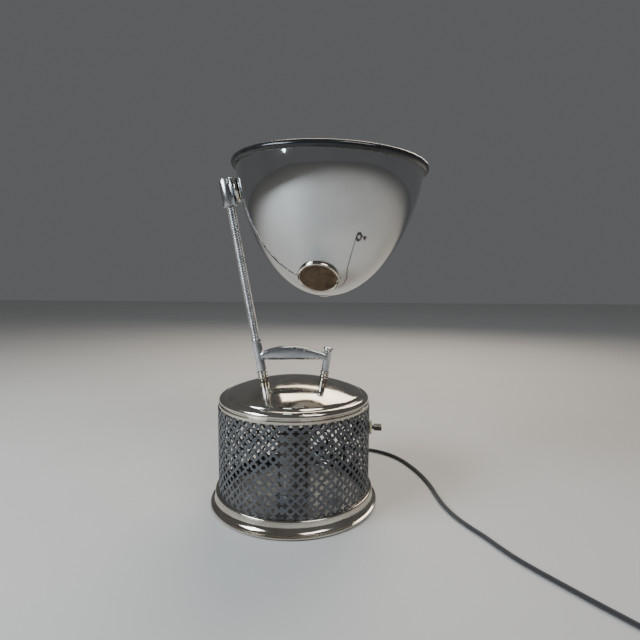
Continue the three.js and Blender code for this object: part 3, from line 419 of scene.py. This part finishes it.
def moulded_rubber():
    paint = Paint("moulded_rubber", (0.02, 0.02, 0.02), 0.7)
    paint.color(paint.noise(200), (0.3, (0.013, 0.013, 0.013)), (0.7, (0.035, 0.034, 0.033)))
    paint.bump(paint.noise(900), 0.2, 0.0003)
    return paint.material


def pale_floor():
    paint = Paint("pale_floor", (0.74, 0.73, 0.71), 0.6)
    paint.color(paint.noise(3.0), (0.3, (0.72, 0.71, 0.69)), (0.7, (0.76, 0.75, 0.73)))
    return paint.material


MATERIALS = {
    "reflector": mirror_polish(),
    "polished_nickel": polished_plate(),
    "cast_aluminium": cast_aluminium(),
    "neck_wire": spring_wire(),
    "steel": plain_steel(),
    "brass": old_brass(),
    "grey_paint": grey_enamel(),
    "black_rim": black_enamel(),
    # this slot's brown is a painted reflection of warm wall light
    "brown_lacquer": brown_lacquer(),
    "felt": felt(),
    "ivory_plastic": ivory_plastic(),
    "dark_plastic": dark_plastic(),
    "porcelain": glazed_porcelain(),
    "ceramic": raw_ceramic(),
    "resistance_wire": resistance_wire(),
    "bulb_glass": lit_glass(),
    "textile": braided_textile(),
    "rubber": moulded_rubber(),
}


def paint_nodes():
    """Gives every CAD node its slot's material, and smooth shading with crisp edges."""
    for subpart in frame["record"]["subparts"]:
        node = frame["nodes"][subpart["node"]]
        node.data.materials.clear()
        node.data.materials.append(MATERIALS[subpart["material_slot"]])
        node.data.shade_smooth()
        weld = node.modifiers.new("weld", "WELD")
        weld.merge_threshold = 0.00002
        split = node.modifiers.new("crisp_edges", "EDGE_SPLIT")
        split.split_angle = math.radians(35)


# ---------------------------------------------------------------- stage

def area_light(name, place, target, size, power, color=(1, 1, 1)):
    light = bpy.data.lights.new(name, "AREA")
    light.shape = "RECTANGLE"
    light.size, light.size_y = size
    light.energy = power
    light.color = color
    holder = bpy.data.objects.new(name, light)
    holder.matrix_world = frame_along(Vector(place), Vector(place) - Vector(target))
    bpy.context.collection.objects.link(holder)


def make_stage():
    """A plain pale floor, a dim surround, and soft lights that read as windows in the polished metal."""
    reach = 6.0
    corners = [(-reach, -reach, 0), (reach, -reach, 0), (reach, reach, 0), (-reach, reach, 0)]
    floor = new_piece("floor", corners, [(0, 1, 2, 3)], pale_floor())
    world = bpy.data.worlds.new("studio")
    world.use_nodes = True
    world.node_tree.nodes["Background"].inputs["Color"].default_value = (0.80, 0.82, 0.85, 1)
    world.node_tree.nodes["Background"].inputs["Strength"].default_value = 0.14
    bpy.context.scene.world = world
    target = (0.03, 0, 0.25)
    area_light("key", (-1.3, -0.8, 1.1), target, (0.6, 1.0), 26, (0.82, 0.92, 1.0))
    area_light("fill", (1.0, -1.3, 2.1), target, (1.2, 0.8), 16)
    area_light("back", (0.4, 1.5, 1.5), target, (1.5, 0.8), 22, (1.0, 0.88, 0.72))


# ---------------------------------------------------------------- cord

# The cord's way along the table, from the strain relief to its coil, and from the coil to the plug.
CORD_RUN = [
    (50.2, 138, 31.8), (54.5, 149.5, 29), (61, 161, 23), (70, 171, 15.5), (81.5, 179, 9),
    (95, 184.5, 4.8), (109.5, 187, 3.4), (125, 186.8, 3.2), (141, 182.3, 3.2), (158.5, 172.5, 3.2),
    (177, 156, 3.2), (193, 131.5, 3.2), (206, 98.5, 3.2), (215, 65, 3.2), (220.5, 29, 3.2),
    (222, -3, 3.2), (225.5, -39, 3.2), (233.5, -70, 3.2), (245, -96, 3.2), (257, -119, 3.2),
    (267, -142, 3.2), (277.5, -163, 3.2), (290, -183, 3.2), (306, -206, 3.2), (329.5, -239, 3.2),
    (351, -267.5, 3.2), (368.5, -290.3, 3.2),
]
CORD_TAIL = [(461.5, -283, 3.2), (462.6, -271, 3.2), (466, -257, 3.2), (471.5, -243, 3.2)]
COIL_ENTRY = math.radians(-142.5)
COIL_RADII = (40, 34, 28)  # of the three columns of turns, millimetres
COIL_UPPER = 9.2  # height of the upper layer, millimetres


def coil_place(turned_degrees):
    """(radius, height) of the coil after it has turned through an angle from where the cord enters it.

    Three turns lie side by side on the table, from the outside in. The cord then climbs onto them and
    makes three more from the inside out, and slides down outside the first turn to leave.
    """
    def eased(start, width=90):
        share = min(max((turned_degrees - start) / width, 0), 1)
        return (1 - math.cos(math.pi * share)) / 2

    outer, middle, inner = COIL_RADII
    column = outer - middle
    radius = outer - column * (eased(270) + eased(630)) + column * (eased(1170) + eased(1530))
    height = 3.2 + (COIL_UPPER - 3.2) * eased(900)
    leaving = min(max((turned_degrees - 1852.5) / 90, 0), 1) * math.pi / 2
    radius += 6.5 * math.sin(leaving)
    height -= (COIL_UPPER - 3.2) * (1 - math.cos(leaving))
    return radius, height


def cord_path():
    """The cord's centreline in metres, from inside its relief to inside the plug."""
    low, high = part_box("cord_coil")
    centre = (low + high) / 2
    relief = relief_frame()
    path = [relief @ Vector((0, 0, reach * MM)) for reach in (2, 12, 24)]
    path += [Vector(point) * MM for point in CORD_RUN]
    for degrees in range(0, 1943, 18):
        radius, height = coil_place(degrees)
        angle = COIL_ENTRY + math.radians(degrees)
        path.append(Vector((centre.x, centre.y, 0)) + Vector(
            (radius * math.cos(angle), radius * math.sin(angle), height)) * MM)
    path += [Vector(point) * MM for point in CORD_TAIL]
    return path


def smooth_path(points, step):
    """Points about a step apart on a smooth curve through the given ones."""
    path = []
    for i in range(len(points) - 1):
        before = points[max(i - 1, 0)]
        start, end = points[i], points[i + 1]
        after = points[min(i + 2, len(points) - 1)]
        count = max(1, round((end - start).length / step))
        spans = [max((b - a).length, 1e-6) ** 0.5 for a, b in ((before, start), (start, end), (end, after))]
        for k in range(count):
            path.append(catmull_rom(before, start, end, after, spans, k / count))
    path.append(points[-1])
    return path


def catmull_rom(before, start, end, after, spans, share):
    """A point of a centripetal Catmull-Rom curve between start and end."""
    first, middle, last = spans
    leave = (end - start) / middle
    arrive = (end - start) / middle
    if (start - before).length > 1e-6:
        leave += (start - before) / first - (end - before) / (first + middle)
    if (after - end).length > 1e-6:
        arrive += (after - end) / last - (after - start) / (middle + last)
    leave *= middle
    arrive *= middle
    squared = share ** 2
    cubed = share ** 3
    return (
        start * (2 * cubed - 3 * squared + 1) + leave * (cubed - 2 * squared + share)
        + end * (3 * squared - 2 * cubed) + arrive * (cubed - squared)
    )


def tube_along(name, path, radius, sides, material):
    """A round tube along a path, with a UV map in metres along it and turns round it."""
    vertices, faces = [], []
    normal = None
    travelled = [0.0]
    for i, point in enumerate(path):
        ahead = path[min(i + 1, len(path) - 1)] - path[max(i - 1, 0)]
        tangent = ahead.normalized()
        if normal is None:
            normal = tangent.orthogonal().normalized()
        normal = (normal - tangent * normal.dot(tangent)).normalized()
        across = tangent.cross(normal)
        if i:
            travelled.append(travelled[-1] + (point - path[i - 1]).length)
        for k in range(sides):
            angle = math.tau * k / sides
            vertices.append(point + (normal * math.cos(angle) + across * math.sin(angle)) * radius)
    for i in range(len(path) - 1):
        for k in range(sides):
            j = (k + 1) % sides
            faces.append((i * sides + k, i * sides + j, (i + 1) * sides + j, (i + 1) * sides + k))
    faces.append(tuple(reversed(range(sides))))
    faces.append(tuple(range(len(vertices) - sides, len(vertices))))
    tube = new_piece(name, vertices, faces, material)
    layer = tube.data.uv_layers.new(name="braid")
    for polygon in tube.data.polygons:
        for k, corner in enumerate(polygon.loop_indices):
            vertex = tube.data.loops[corner].vertex_index
            i, side = divmod(vertex, sides)
            turn = side + (sides if side == 0 and k in (1, 2) else 0)
            layer.data[corner].uv = (travelled[i], turn / sides)
    return tube


def relief_frame():
    """The frame of the strain relief: on the drum's wall, with its Z axis straight out."""
    middle = box_centre("strain_relief")
    outward = Vector((middle.x, middle.y, 0)).normalized()
    return frame_along(outward * DRUM_HIGH.x + Vector((0, 0, middle.z)), outward)


def make_cord():
    path = smooth_path(cord_path(), 0.004)
    cord = tube_along("cord", path, CORD_DIAMETER / 2, 12, MATERIALS["textile"])
    finished(cord, "root", "textile", "cord_run", "cord_tail", "cord_coil")
    relief_frame() @ Vector((0, 0, 0.024))


# ---------------------------------------------------------------- base

def foot_outline():
    """The flared foot ring: flange under the drum, concave skirt and a bead at its top."""
    inner = DRUM_R + 0.3
    top = FOOT_HIGH.z / MM
    bead_r = 2.3
    bead_middle = top - bead_r
    bead_at = inner + 1.5 + bead_r / 2
    low = FOOT_LOW.z / MM
    flare_top = bead_middle - bead_r
    flare_bottom = low + 3
    span = FOOT_R - 1 - bead_at + 0.6
    flare = []
    for i in range(13):
        angle = math.pi / 2 * i / 12
        drop = (flare_top - flare_bottom) * math.cos(angle)
        flare.append((FOOT_R - 1 - span * math.sin(angle), flare_top - drop))
    return [
        (FOOT_R - 2.6, low), (FOOT_R - 0.8, low), (FOOT_R - 0.2, low + 0.4), (FOOT_R, low + 1.2),
        (FOOT_R, low + 2.1), (FOOT_R - 0.3, low + 2.7),
        *flare,
        *arc(bead_at, bead_middle, bead_r, -50, 130, 10),
        (inner, top), (inner, 8.6), (inner - 10, 8.6), (inner - 10, 7.1), (inner + 1, 7.1),
        (FOOT_R - 4.5, low + 2.1), (FOOT_R - 2.6, low),
    ]


def make_foot():
    foot = turned("foot_flare", foot_outline(), Matrix.Identity(4), MATERIALS["polished_nickel"], 192)
    finished(foot, "root", "polished_nickel", "foot_ring")


VENT_PITCH = 13.85
VENT_ROUND_R = 3.2
VENT_CROSS_ARM = 4.9  # from a cross hole's centre to the end of an arm
VENT_CROSS_WIDTH = 1.7  # half the width of an arm
VENT_COLUMNS = 52
VENT_FIRST_CROSS = 0.4  # height of the lowest row of crosses
VENT_SEAM_MARGIN = 4.1  # from the seam to the nearest column of crosses
SEAM_AZIMUTH = math.radians(-94.85)


def cross_outline():
    """A cross-shaped hole with rounded arm ends, centred on the origin."""
    arm, half = VENT_CROSS_ARM, VENT_CROSS_WIDTH
    points = []
    for quarter in range(4):
        turn = Matrix.Rotation(math.pi / 2 * quarter, 2)
        for step in range(5):
            angle = math.radians(-90 + 45 * step)
            tip = Vector((arm - half + half * math.cos(angle), half * math.sin(angle)))
            points.append(turn @ tip)
        points.append(turn @ Vector((half, half)))
    return points


def vent_cell(pitch_x, pitch_y):
    """Flat triangles of one cell of the vent: a cross hole at its centre, quarter rounds at its corners."""
    border = []
    for quarter in range(4):
        angle = math.pi / 2 * quarter
        sx = 1 if quarter in (0, 3) else -1
        sy = 1 if quarter in (0, 1) else -1
        corner = Vector((sx * pitch_x / 2, sy * pitch_y / 2))
        for step in range(4):
            bite = angle - math.pi / 2 - math.pi / 6 * step
            border.append(corner + VENT_ROUND_R * Vector((math.cos(bite), math.sin(bite))))
    hole = cross_outline()
    points = border + hole
    edges = [(i, (i + 1) % len(border)) for i in range(len(border))]
    edges += [(len(border) + i, len(border) + (i + 1) % len(hole)) for i in range(len(hole))]
    vertices, _, triangles, _, _, _ = delaunay_2d_cdt(points, edges, [], 0, 1e-6)
    corners = [Vector((x * pitch_x / 2, y * pitch_y / 2)) for x in (1, -1) for y in (1, -1)]

    def solid(triangle):
        middle = sum((vertices[i] for i in triangle), Vector((0, 0))) / 3
        if any((middle - corner).length < VENT_ROUND_R * 0.97 for corner in corners):
            return False
        across, along = sorted((abs(middle.x), abs(middle.y)))
        return across > VENT_CROSS_WIDTH or along > VENT_CROSS_ARM

    return vertices, [t for t in triangles if solid(t)]


def make_drum():
    """The vented drum: sheet pierced with rounds and crosses, rolled up and butted at a seam."""
    around = math.tau * DRUM_R
    pitch_x = (around - 2 * VENT_SEAM_MARGIN) / (VENT_COLUMNS - 1)
    vertices, triangles = vent_cell(pitch_x, VENT_PITCH)
    sheet = bmesh.new()
    low, high = DRUM_LOW.z / MM, DRUM_HIGH.z / MM
    rows = math.ceil((high - VENT_FIRST_CROSS) / VENT_PITCH) + 1
    for row in range(rows):
        for column in range(VENT_COLUMNS):
            x = VENT_SEAM_MARGIN + pitch_x * column
            z = VENT_FIRST_CROSS + VENT_PITCH * row
            placed = [sheet.verts.new((v.x + x, 0, v.y + z)) for v in vertices]
            for triangle in triangles:
                sheet.faces.new([placed[i] for i in triangle])
    bmesh.ops.remove_doubles(sheet, verts=sheet.verts, dist=0.01)
    cuts = [
        ((0, 0, low), (0, 0, -1)), ((0, 0, high), (0, 0, 1)),
        ((0, 0, 0), (-1, 0, 0)), ((around, 0, 0), (1, 0, 0)),
    ]
    for point, outward in cuts:
        geometry = sheet.verts[:] + sheet.edges[:] + sheet.faces[:]
        bmesh.ops.bisect_plane(sheet, geom=geometry, plane_co=point, plane_no=outward, clear_outer=True)
    for vertex in sheet.verts:
        angle = SEAM_AZIMUTH + vertex.co.x / DRUM_R
        height = vertex.co.z * MM
        vertex.co = Vector((DRUM_R * MM * math.cos(angle), DRUM_R * MM * math.sin(angle), height))
    bmesh.ops.remove_doubles(sheet, verts=sheet.verts, dist=0.00001)
    mesh = bpy.data.meshes.new("vent_drum")
    sheet.to_mesh(mesh)
    sheet.free()
    mesh.shade_smooth()
    mesh.materials.append(MATERIALS["grey_paint"])
    drum = bpy.data.objects.new("vent_drum", mesh)
    bpy.context.collection.objects.link(drum)
    wall = drum.modifiers.new("wall", "SOLIDIFY")
    wall.thickness = 0.001
    wall.offset = -1
    split = drum.modifiers.new("crisp_edges", "EDGE_SPLIT")
    split.split_angle = math.radians(40)
    finished(drum, "root", "grey_paint", "perforated_drum")


def lid_outline():
    """The spun lid: skirt in the drum, flange, bead, step and shallow dome."""
    seat = DRUM_HIGH.z / MM + 0.3
    flange_top = seat + 5.3
    bead_top = flange_top + 10.6
    edge = 101.8
    top = LID_HIGH.z / MM
    rise = 19.9
    ball = (edge ** 2 + rise ** 2) / (2 * rise)
    centre = top - ball
    skirt = DRUM_R - 5.9

    def dome(radius, reach, steps):
        across = [reach * i / steps for i in range(steps)]
        return [(r, centre + math.sqrt(radius ** 2 - r ** 2)) for r in across]

    bead = [
        (LID_R - 1.8, flange_top + 1.6), (LID_R - 0.9, flange_top + 2.3), (LID_R - 0.4, flange_top + 3.4),
        (LID_R - 0.3, flange_top + 4.7), (LID_R - 0.6, flange_top + 6.0), (LID_R - 1.4, flange_top + 7.4),
        (LID_R - 2.6, flange_top + 8.6), (LID_R - 4.1, flange_top + 9.6), (LID_R - 5.8, flange_top + 10.3),
        (LID_R - 8.1, bead_top),
    ]
    return [
        (skirt, seat - 8), (skirt, seat), (LID_R - 0.8, seat), (LID_R - 0.2, seat + 0.4), (LID_R, seat + 1.1),
        (LID_R, flange_top - 1.1), (LID_R - 0.2, flange_top - 0.4), (LID_R - 0.8, flange_top),
        (LID_R - 1.9, flange_top + 0.5),
        *bead,
        (edge + 2.2, bead_top - 0.2), (edge + 1.3, bead_top + 0.5), (edge + 0.7, bead_top + 1.7),
        (edge, top - rise),
        *reversed(dome(ball, edge, 24)),
        *dome(ball - 1.5, edge - 1.5, 12),
        (edge - 0.2, bead_top - 2), (LID_R - 5.8, bead_top - 2), (LID_R - 2.6, flange_top + 5.9),
        (LID_R - 3.4, flange_top + 1), (skirt - 1.5, seat + 1.5), (skirt - 1.5, seat - 8), (skirt, seat - 8),
    ]


def make_lid():
    lid = turned("domed_lid", lid_outline(), Matrix.Identity(4), MATERIALS["polished_nickel"], 192)
    finished(lid, "root", "polished_nickel", "drum_lid")


# ---------------------------------------------------------------- handle

POST_LEFT_R = 6.9
POST_RIGHT_R = 5.8
POST_RIGHT_LEAN = math.radians(8.3)
POST_LEFT_HEIGHT = 64
COLLAR_MIDDLE = 7.05  # height of a collar's middle above the foot of its post
GRIP_DEPTH = 15
GRIP_CORNER = 4.5
GRIP_BOTTOM = 215.5
GRIP_END = 10.4  # thickness of the grip at its ends, and what its arch adds
GRIP_ARCH = 10.7
GRIP_CROWN = 0.45  # of the grip's length, from its left end
GRIP_REACH = 3.6  # from a post's axis to where the grip's ends stop beside it

LEFT_POST = frame_along(NECK_FOOT - NECK_DIRECTION * POST_LEFT_HEIGHT * MM, NECK_DIRECTION)
RIGHT_DIRECTION = Vector((math.sin(POST_RIGHT_LEAN), 0, math.cos(POST_RIGHT_LEAN)))
RIGHT_POST = frame_along(
    box_centre("post_collar_right") - RIGHT_DIRECTION * COLLAR_MIDDLE * MM, RIGHT_DIRECTION
)


def collar_outline(radius):
    """A narrow foot below two rounded rings with a groove between them."""
    return [
        (4.4, 0.3), (radius - 0.6, 0.3), (radius - 0.4, 0.8), (radius - 0.7, 4.4), (radius - 0.2, 5),
        (radius + 0.1, 5.6), (radius + 0.1, 7.6), (radius - 0.3, 8.3), (radius - 0.9, 8.8), (radius - 0.9, 9.8),
        (radius - 0.2, 10.3), (radius + 0.2, 10.9), (radius + 0.2, 13), (radius - 0.2, 13.6),
        (radius - 0.8, 13.8), (4.4, 13.8), (4.4, 0.3),
    ]


def make_posts():
    """The two posts: a plain ferrule tops the left one, a wide turned cap the right one."""
    top = POST_LEFT_HEIGHT
    radius = POST_LEFT_R
    left = [
        (2.5, -14), (4, -14), (4, 14.1), (radius - 0.6, 14.1), (radius, 14.8), (radius, top - 6),
        (radius - 0.4, top - 5.6), (radius - 0.4, top - 4.8), (radius + 0.3, top - 4.2),
        (radius + 0.4, top - 2.5),
        (radius + 0.3, top - 0.9), (radius - 0.3, top), (2.5, top), (2.5, -14),
    ]
    radius = POST_RIGHT_R
    right = [
        (0, -14), (4, -14), (4, 14.1), (radius - 0.6, 14.1), (radius, 14.8), (radius, 45),
        (radius + 0.4, 45.7),
        (radius + 1.2, 47.2), (radius + 1.6, 48.2), (radius + 1.5, 49.5), (radius + 1, 50.4), (radius, 51),
        (3, 51.5), (0, 51.6),
    ]
    sides = [("left", left, LEFT_POST, POST_LEFT_R), ("right", right, RIGHT_POST, POST_RIGHT_R)]
    for side, outline, place, post_r in sides:
        post = turned(f"turned_post_{side}", outline, place, MATERIALS["cast_aluminium"])
        finished(post, "root", "cast_aluminium", f"post_{side}")
        outline = collar_outline(post_r + 0.7)
        collar = turned(f"ribbed_collar_{side}", outline, place, MATERIALS["polished_nickel"])
        finished(collar, "root", "polished_nickel", f"post_collar_{side}")


def grip_section(thickness):
    """(across, up) points of the grip's rounded section, from the middle of its underside."""
    points = []
    half = GRIP_DEPTH / 2 - GRIP_CORNER
    for quarter, (side, level) in enumerate([(1, GRIP_CORNER), (1, thickness - GRIP_CORNER),
                                             (-1, thickness - GRIP_CORNER), (-1, GRIP_CORNER)]):
        for step in range(7):
            angle = math.pi / 2 * (quarter - 1 + step / 6)
            across = side * half + GRIP_CORNER * math.cos(angle)
            points.append((across, level + GRIP_CORNER * math.sin(angle)))
    return points


def beside_post(frame_of_post, radius, across, height):
    """The x where the grip's end meets a post's surface, on its left for a negative radius."""
    foot = frame_of_post.translation / MM
    axis = frame_of_post.to_3x3() @ UP
    middle = foot.x + (height - foot.z) * axis.x / axis.z
    clear = math.sqrt(max(radius ** 2 - across ** 2, GRIP_REACH ** 2))
    return middle + math.copysign(clear, radius)


def make_grip():
    """The cast grip: flat below, arched above, its ends hollowed to fit the posts."""
    power = math.log(0.5) / math.log(GRIP_CROWN)
    stations = 48
    vertices, faces = [], []
    for i in range(stations + 1):
        share = i / stations
        thickness = GRIP_END + GRIP_ARCH * max(math.sin(math.pi * share ** power), 0) ** 0.85
        section = grip_section(thickness)
        for across, up in section:
            height = GRIP_BOTTOM + up
            left = beside_post(LEFT_POST, POST_LEFT_R + 0.3, across, height)
            right = beside_post(RIGHT_POST, -POST_RIGHT_R - 0.3, across, height)
            vertices.append(Vector((left + (right - left) * share, across, height)) * MM)
    sides = len(section)
    for i in range(stations):
        for k in range(sides):
            j = (k + 1) % sides
            faces.append((i * sides + k, (i + 1) * sides + k, (i + 1) * sides + j, i * sides + j))
    faces.append(tuple(range(sides)))
    faces.append(tuple(reversed(range(stations * sides, (stations + 1) * sides))))
    grip = new_piece("cast_grip", vertices, faces, MATERIALS["cast_aluminium"])
    finished(grip, "root", "cast_aluminium", "handle_grip")
    for side in ("left", "right"):
        middle = box_centre(f"grip_pin_{side}")
        face = Vector((middle.x, -GRIP_DEPTH / 2 * MM, middle.z))
        outline = [(0, -4), (1.6, -4), (1.6, 0.1), (1.3, 0.4), (0.6, 0.55), (0, 0.6)]
        place = frame_along(face, Vector((0, -1, 0)))
        pin = turned(f"pin_head_{side}", outline, place, MATERIALS["steel"], 24)
        finished(pin, "root", "steel", f"grip_pin_{side}")


# ---------------------------------------------------------------- neck

WIRE_TURNS_PER_JOINT = 9
WIRE_R = 1.8
NECK_PIECES = [
    ("neck_foot", "neck_section_1"), ("neck_section_2",), ("neck_section_3",), ("neck_section_4",),
    ("neck_section_5",), ("neck_head",),
]


def neck_radius(turns):
    """The spring's outer surface after a number of turns of its wire, millimetres."""
    pitch = NECK_PITCH / MM / WIRE_TURNS_PER_JOINT
    off_crown = ((turns % 1) - 0.5) * pitch
    return NECK_R - WIRE_R + math.sqrt(max(WIRE_R ** 2 - off_crown ** 2, 0))


def make_neck():
    """Six straight portions of spring, each spanning one joint of the neck."""
    place = frame_along(NECK_FOOT, NECK_DIRECTION)
    length = NECK_PITCH / MM
    sides = 24
    count = WIRE_TURNS_PER_JOINT * 12
    for part, nodes in enumerate(NECK_PIECES):
        vertices, faces = [], []
        for i in range(count + 1):
            turns = WIRE_TURNS_PER_JOINT * (part + i / count)
            height = length * (part + i / count)
            for k in range(sides):
                angle = math.tau * k / sides
                radius = neck_radius(turns - k / sides)
                point = Vector((radius * math.cos(angle), radius * math.sin(angle), height))
                vertices.append(place @ (point * MM))
        for i in range(count):
            for k in range(sides):
                j = (k + 1) % sides
                faces.append((i * sides + k, i * sides + j, (i + 1) * sides + j, (i + 1) * sides + k))
        faces.append(tuple(reversed(range(sides))))
        faces.append(tuple(range(count * sides, (count + 1) * sides)))
        spring = new_piece(f"neck_spring_{part + 1}", vertices, faces, MATERIALS["neck_wire"], sharp=70)
        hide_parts(*nodes)
        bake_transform(spring)


# ---------------------------------------------------------------- bowl

def bowl_radius(depth):
    share = min(depth / BOWL_DEPTH, 1)
    return BOWL_R * (1 - share ** BOWL_FULLNESS) ** (1 / BOWL_ROUNDNESS)


def bowl_slope(depth):
    step = 0.01
    return math.atan((bowl_radius(depth - step) - bowl_radius(depth + step)) / (2 * step))


BOWL_TURN = Matrix.Rotation(bowl_slope(PIVOT_BELOW_RIM) - NECK_LEAN, 4, "Y")
BOWL_FRAME = (
    Matrix.Translation(box_centre("rim_bead")) @ Matrix.Rotation(BOWL_TILT, 4, PIVOT_DIRECTION) @ BOWL_TURN
)


def bowl_face(inset, steps):
    """Outline of the bowl's face from the apex up to the rim, set in by a distance."""
    edge = RIM_WIRE_R - 0.6
    points = [(0, -BOWL_DEPTH + inset)]
    for i in range(1, steps + 1):
        depth = BOWL_DEPTH - (BOWL_DEPTH - edge) * (1 - math.cos(math.pi / 2 * i / steps))
        slope = bowl_slope(depth)
        radius = max(bowl_radius(depth) - inset * math.cos(slope), 0)
        points.append((radius, -depth + inset * math.sin(slope)))
    return points


def make_bowl():
    outline = bowl_face(0, 48) + list(reversed(bowl_face(BOWL_WALL, 40)))
    bowl = turned("spun_bowl", outline, BOWL_FRAME, MATERIALS["reflector"], 192)
    finished(bowl, "bowl", "reflector", "bowl_shell")
    wire = arc(RIM_R, 0, RIM_WIRE_R, -90, 270, 28)
    rim = turned("rolled_rim", wire, BOWL_FRAME, MATERIALS["black_rim"], 192)
    finished(rim, "bowl", "black_rim", "rim_bead")


BADGE_R = 29
BADGE_RING_WIDTH = 3.6
BADGE_BELOW_RIM = 157
BADGE_AZIMUTH = math.radians(-98.5)


def badge_frame():
    """The badge's frame: on the bowl's face, with its Z axis straight out."""
    slope = bowl_slope(BADGE_BELOW_RIM)
    radius = bowl_radius(BADGE_BELOW_RIM)
    around = Vector((math.cos(BADGE_AZIMUTH), math.sin(BADGE_AZIMUTH), 0))
    origin = (around * radius - UP * BADGE_BELOW_RIM) * MM
    return BOWL_FRAME @ frame_along(origin, around * math.cos(slope) - UP * math.sin(slope))


def seat_on_bowl(place, across, along):
    """Height in a frame on the bowl at which a point stands on the bowl's outer face, millimetres."""
    to_bowl = BOWL_FRAME.inverted() @ place
    low, high = -20.0, 10.0
    for _ in range(24):
        middle = (low + high) / 2
        point = (to_bowl @ (Vector((across, along, middle)) * MM)) / MM
        outside = math.hypot(point.x, point.y) > bowl_radius(max(-point.z, 0)) or -point.z > BOWL_DEPTH
        low, high = (low, middle) if outside else (middle, high)
    return high


def make_badge():
    """A raised ring that follows the bowl's curve, and the plain disc inside it, whose brown is a painted
    reflection of warm wall light.
    """
    place = badge_frame()
    outer, inner = BADGE_R, BADGE_R - BADGE_RING_WIDTH
    crest = [
        (outer, 1.6), (outer - 0.4, 2.5), (outer - 1.2, 3),
        (inner + 1.2, 3), (inner + 0.4, 2.5), (inner, 1.6),
    ]
    seats = [outer, inner]
    sides = 120
    vertices, faces = [], []
    for k in range(sides):
        angle = math.tau * k / sides
        around = Vector((math.cos(angle), math.sin(angle), 0))
        lower, upper = [around * r + UP * (seat_on_bowl(place, r * around.x, r * around.y) + 0.3) for r in seats]
        section = [lower] + [around * r + UP * z for r, z in crest] + [upper]
        vertices += [place @ (point * MM) for point in section]
    count = len(section)
    for k in range(sides):
        j = (k + 1) % sides
        for i in range(count):
            n = (i + 1) % count
            faces.append((k * count + i, j * count + i, j * count + n, k * count + n))
    ring = new_piece("badge_surround", vertices, faces, MATERIALS["polished_nickel"])
    finished(ring, "bowl", "polished_nickel", "badge_ring")
    edge = inner - 0.3
    dish = [(0, 0.8), (edge, 0.8), (edge, 2.4), (edge - 0.6, 2.5), (edge * 0.8, 2), (edge * 0.4, 1.7), (0, 1.6)]
    # the disc's brown colour is a painted reflection of warm wall light
    disc = turned("badge_plate", dish, place, MATERIALS["brown_lacquer"])
    finished(disc, "bowl", "brown_lacquer", "badge_disc")


# ---------------------------------------------------------------- pivot

BARREL_R = 10.6
BARREL_FROM = 200.3  # above the neck's foot
BARREL_TUBE = 38.7


def make_pivot():
    """The upright barrel with its inset domed cap, and the bowl's polished friction disc."""
    place = frame_along(NECK_FOOT + NECK_DIRECTION * BARREL_FROM * MM, NECK_DIRECTION)
    top = BARREL_TUBE
    tube = [
        (6, 0), (BARREL_R - 0.9, 0), (BARREL_R - 0.3, 0.3), (BARREL_R, 0.9), (BARREL_R, top - 0.5),
        (BARREL_R - 0.3, top), (6, top), (6, 0),
    ]
    cap = [
        (0, top - 5), (5.7, top - 5), (5.7, top + 0.3), (BARREL_R - 0.3, top + 0.3), (BARREL_R, top + 0.6),
        (BARREL_R, top + 1.2), (BARREL_R - 0.5, top + 1.6), (BARREL_R - 1.2, top + 1.5),
        (BARREL_R - 1.7, top + 1.1),
        (BARREL_R - 2.3, top + 1.4), (6, top + 2), (3, top + 2.3), (0, top + 2.4),
    ]
    barrel = turned("turned_barrel", tube, place, MATERIALS["cast_aluminium"])
    finished(barrel, "barrel", "cast_aluminium", "barrel")
    lid = turned("barrel_domed_cap", cap, place, MATERIALS["cast_aluminium"])
    finished(lid, "barrel", "cast_aluminium", "barrel_cap")
    start, end, radius = 13, 17.1, 17.2
    disc = [
        (5.4, start), (radius - 0.8, start), (radius - 0.2, start + 0.2), (radius, start + 0.8),
        (radius, end - 0.8), (radius - 0.2, end - 0.2), (radius - 0.8, end), (5.4, end), (5.4, start),
    ]
    pivot = frame_along(PIVOT_CENTRE, PIVOT_DIRECTION)
    washer = turned("bowl_friction_disc", disc, pivot, MATERIALS["polished_nickel"])
    finished(washer, "bowl", "polished_nickel", "friction_disc_bowl")


# ---------------------------------------------------------------- the scene

make_camera()
make_stage()
paint_nodes()
make_cord()
make_foot()
make_drum()
make_lid()
make_posts()
make_grip()
make_neck()
make_pivot()
make_bowl()
make_badge()
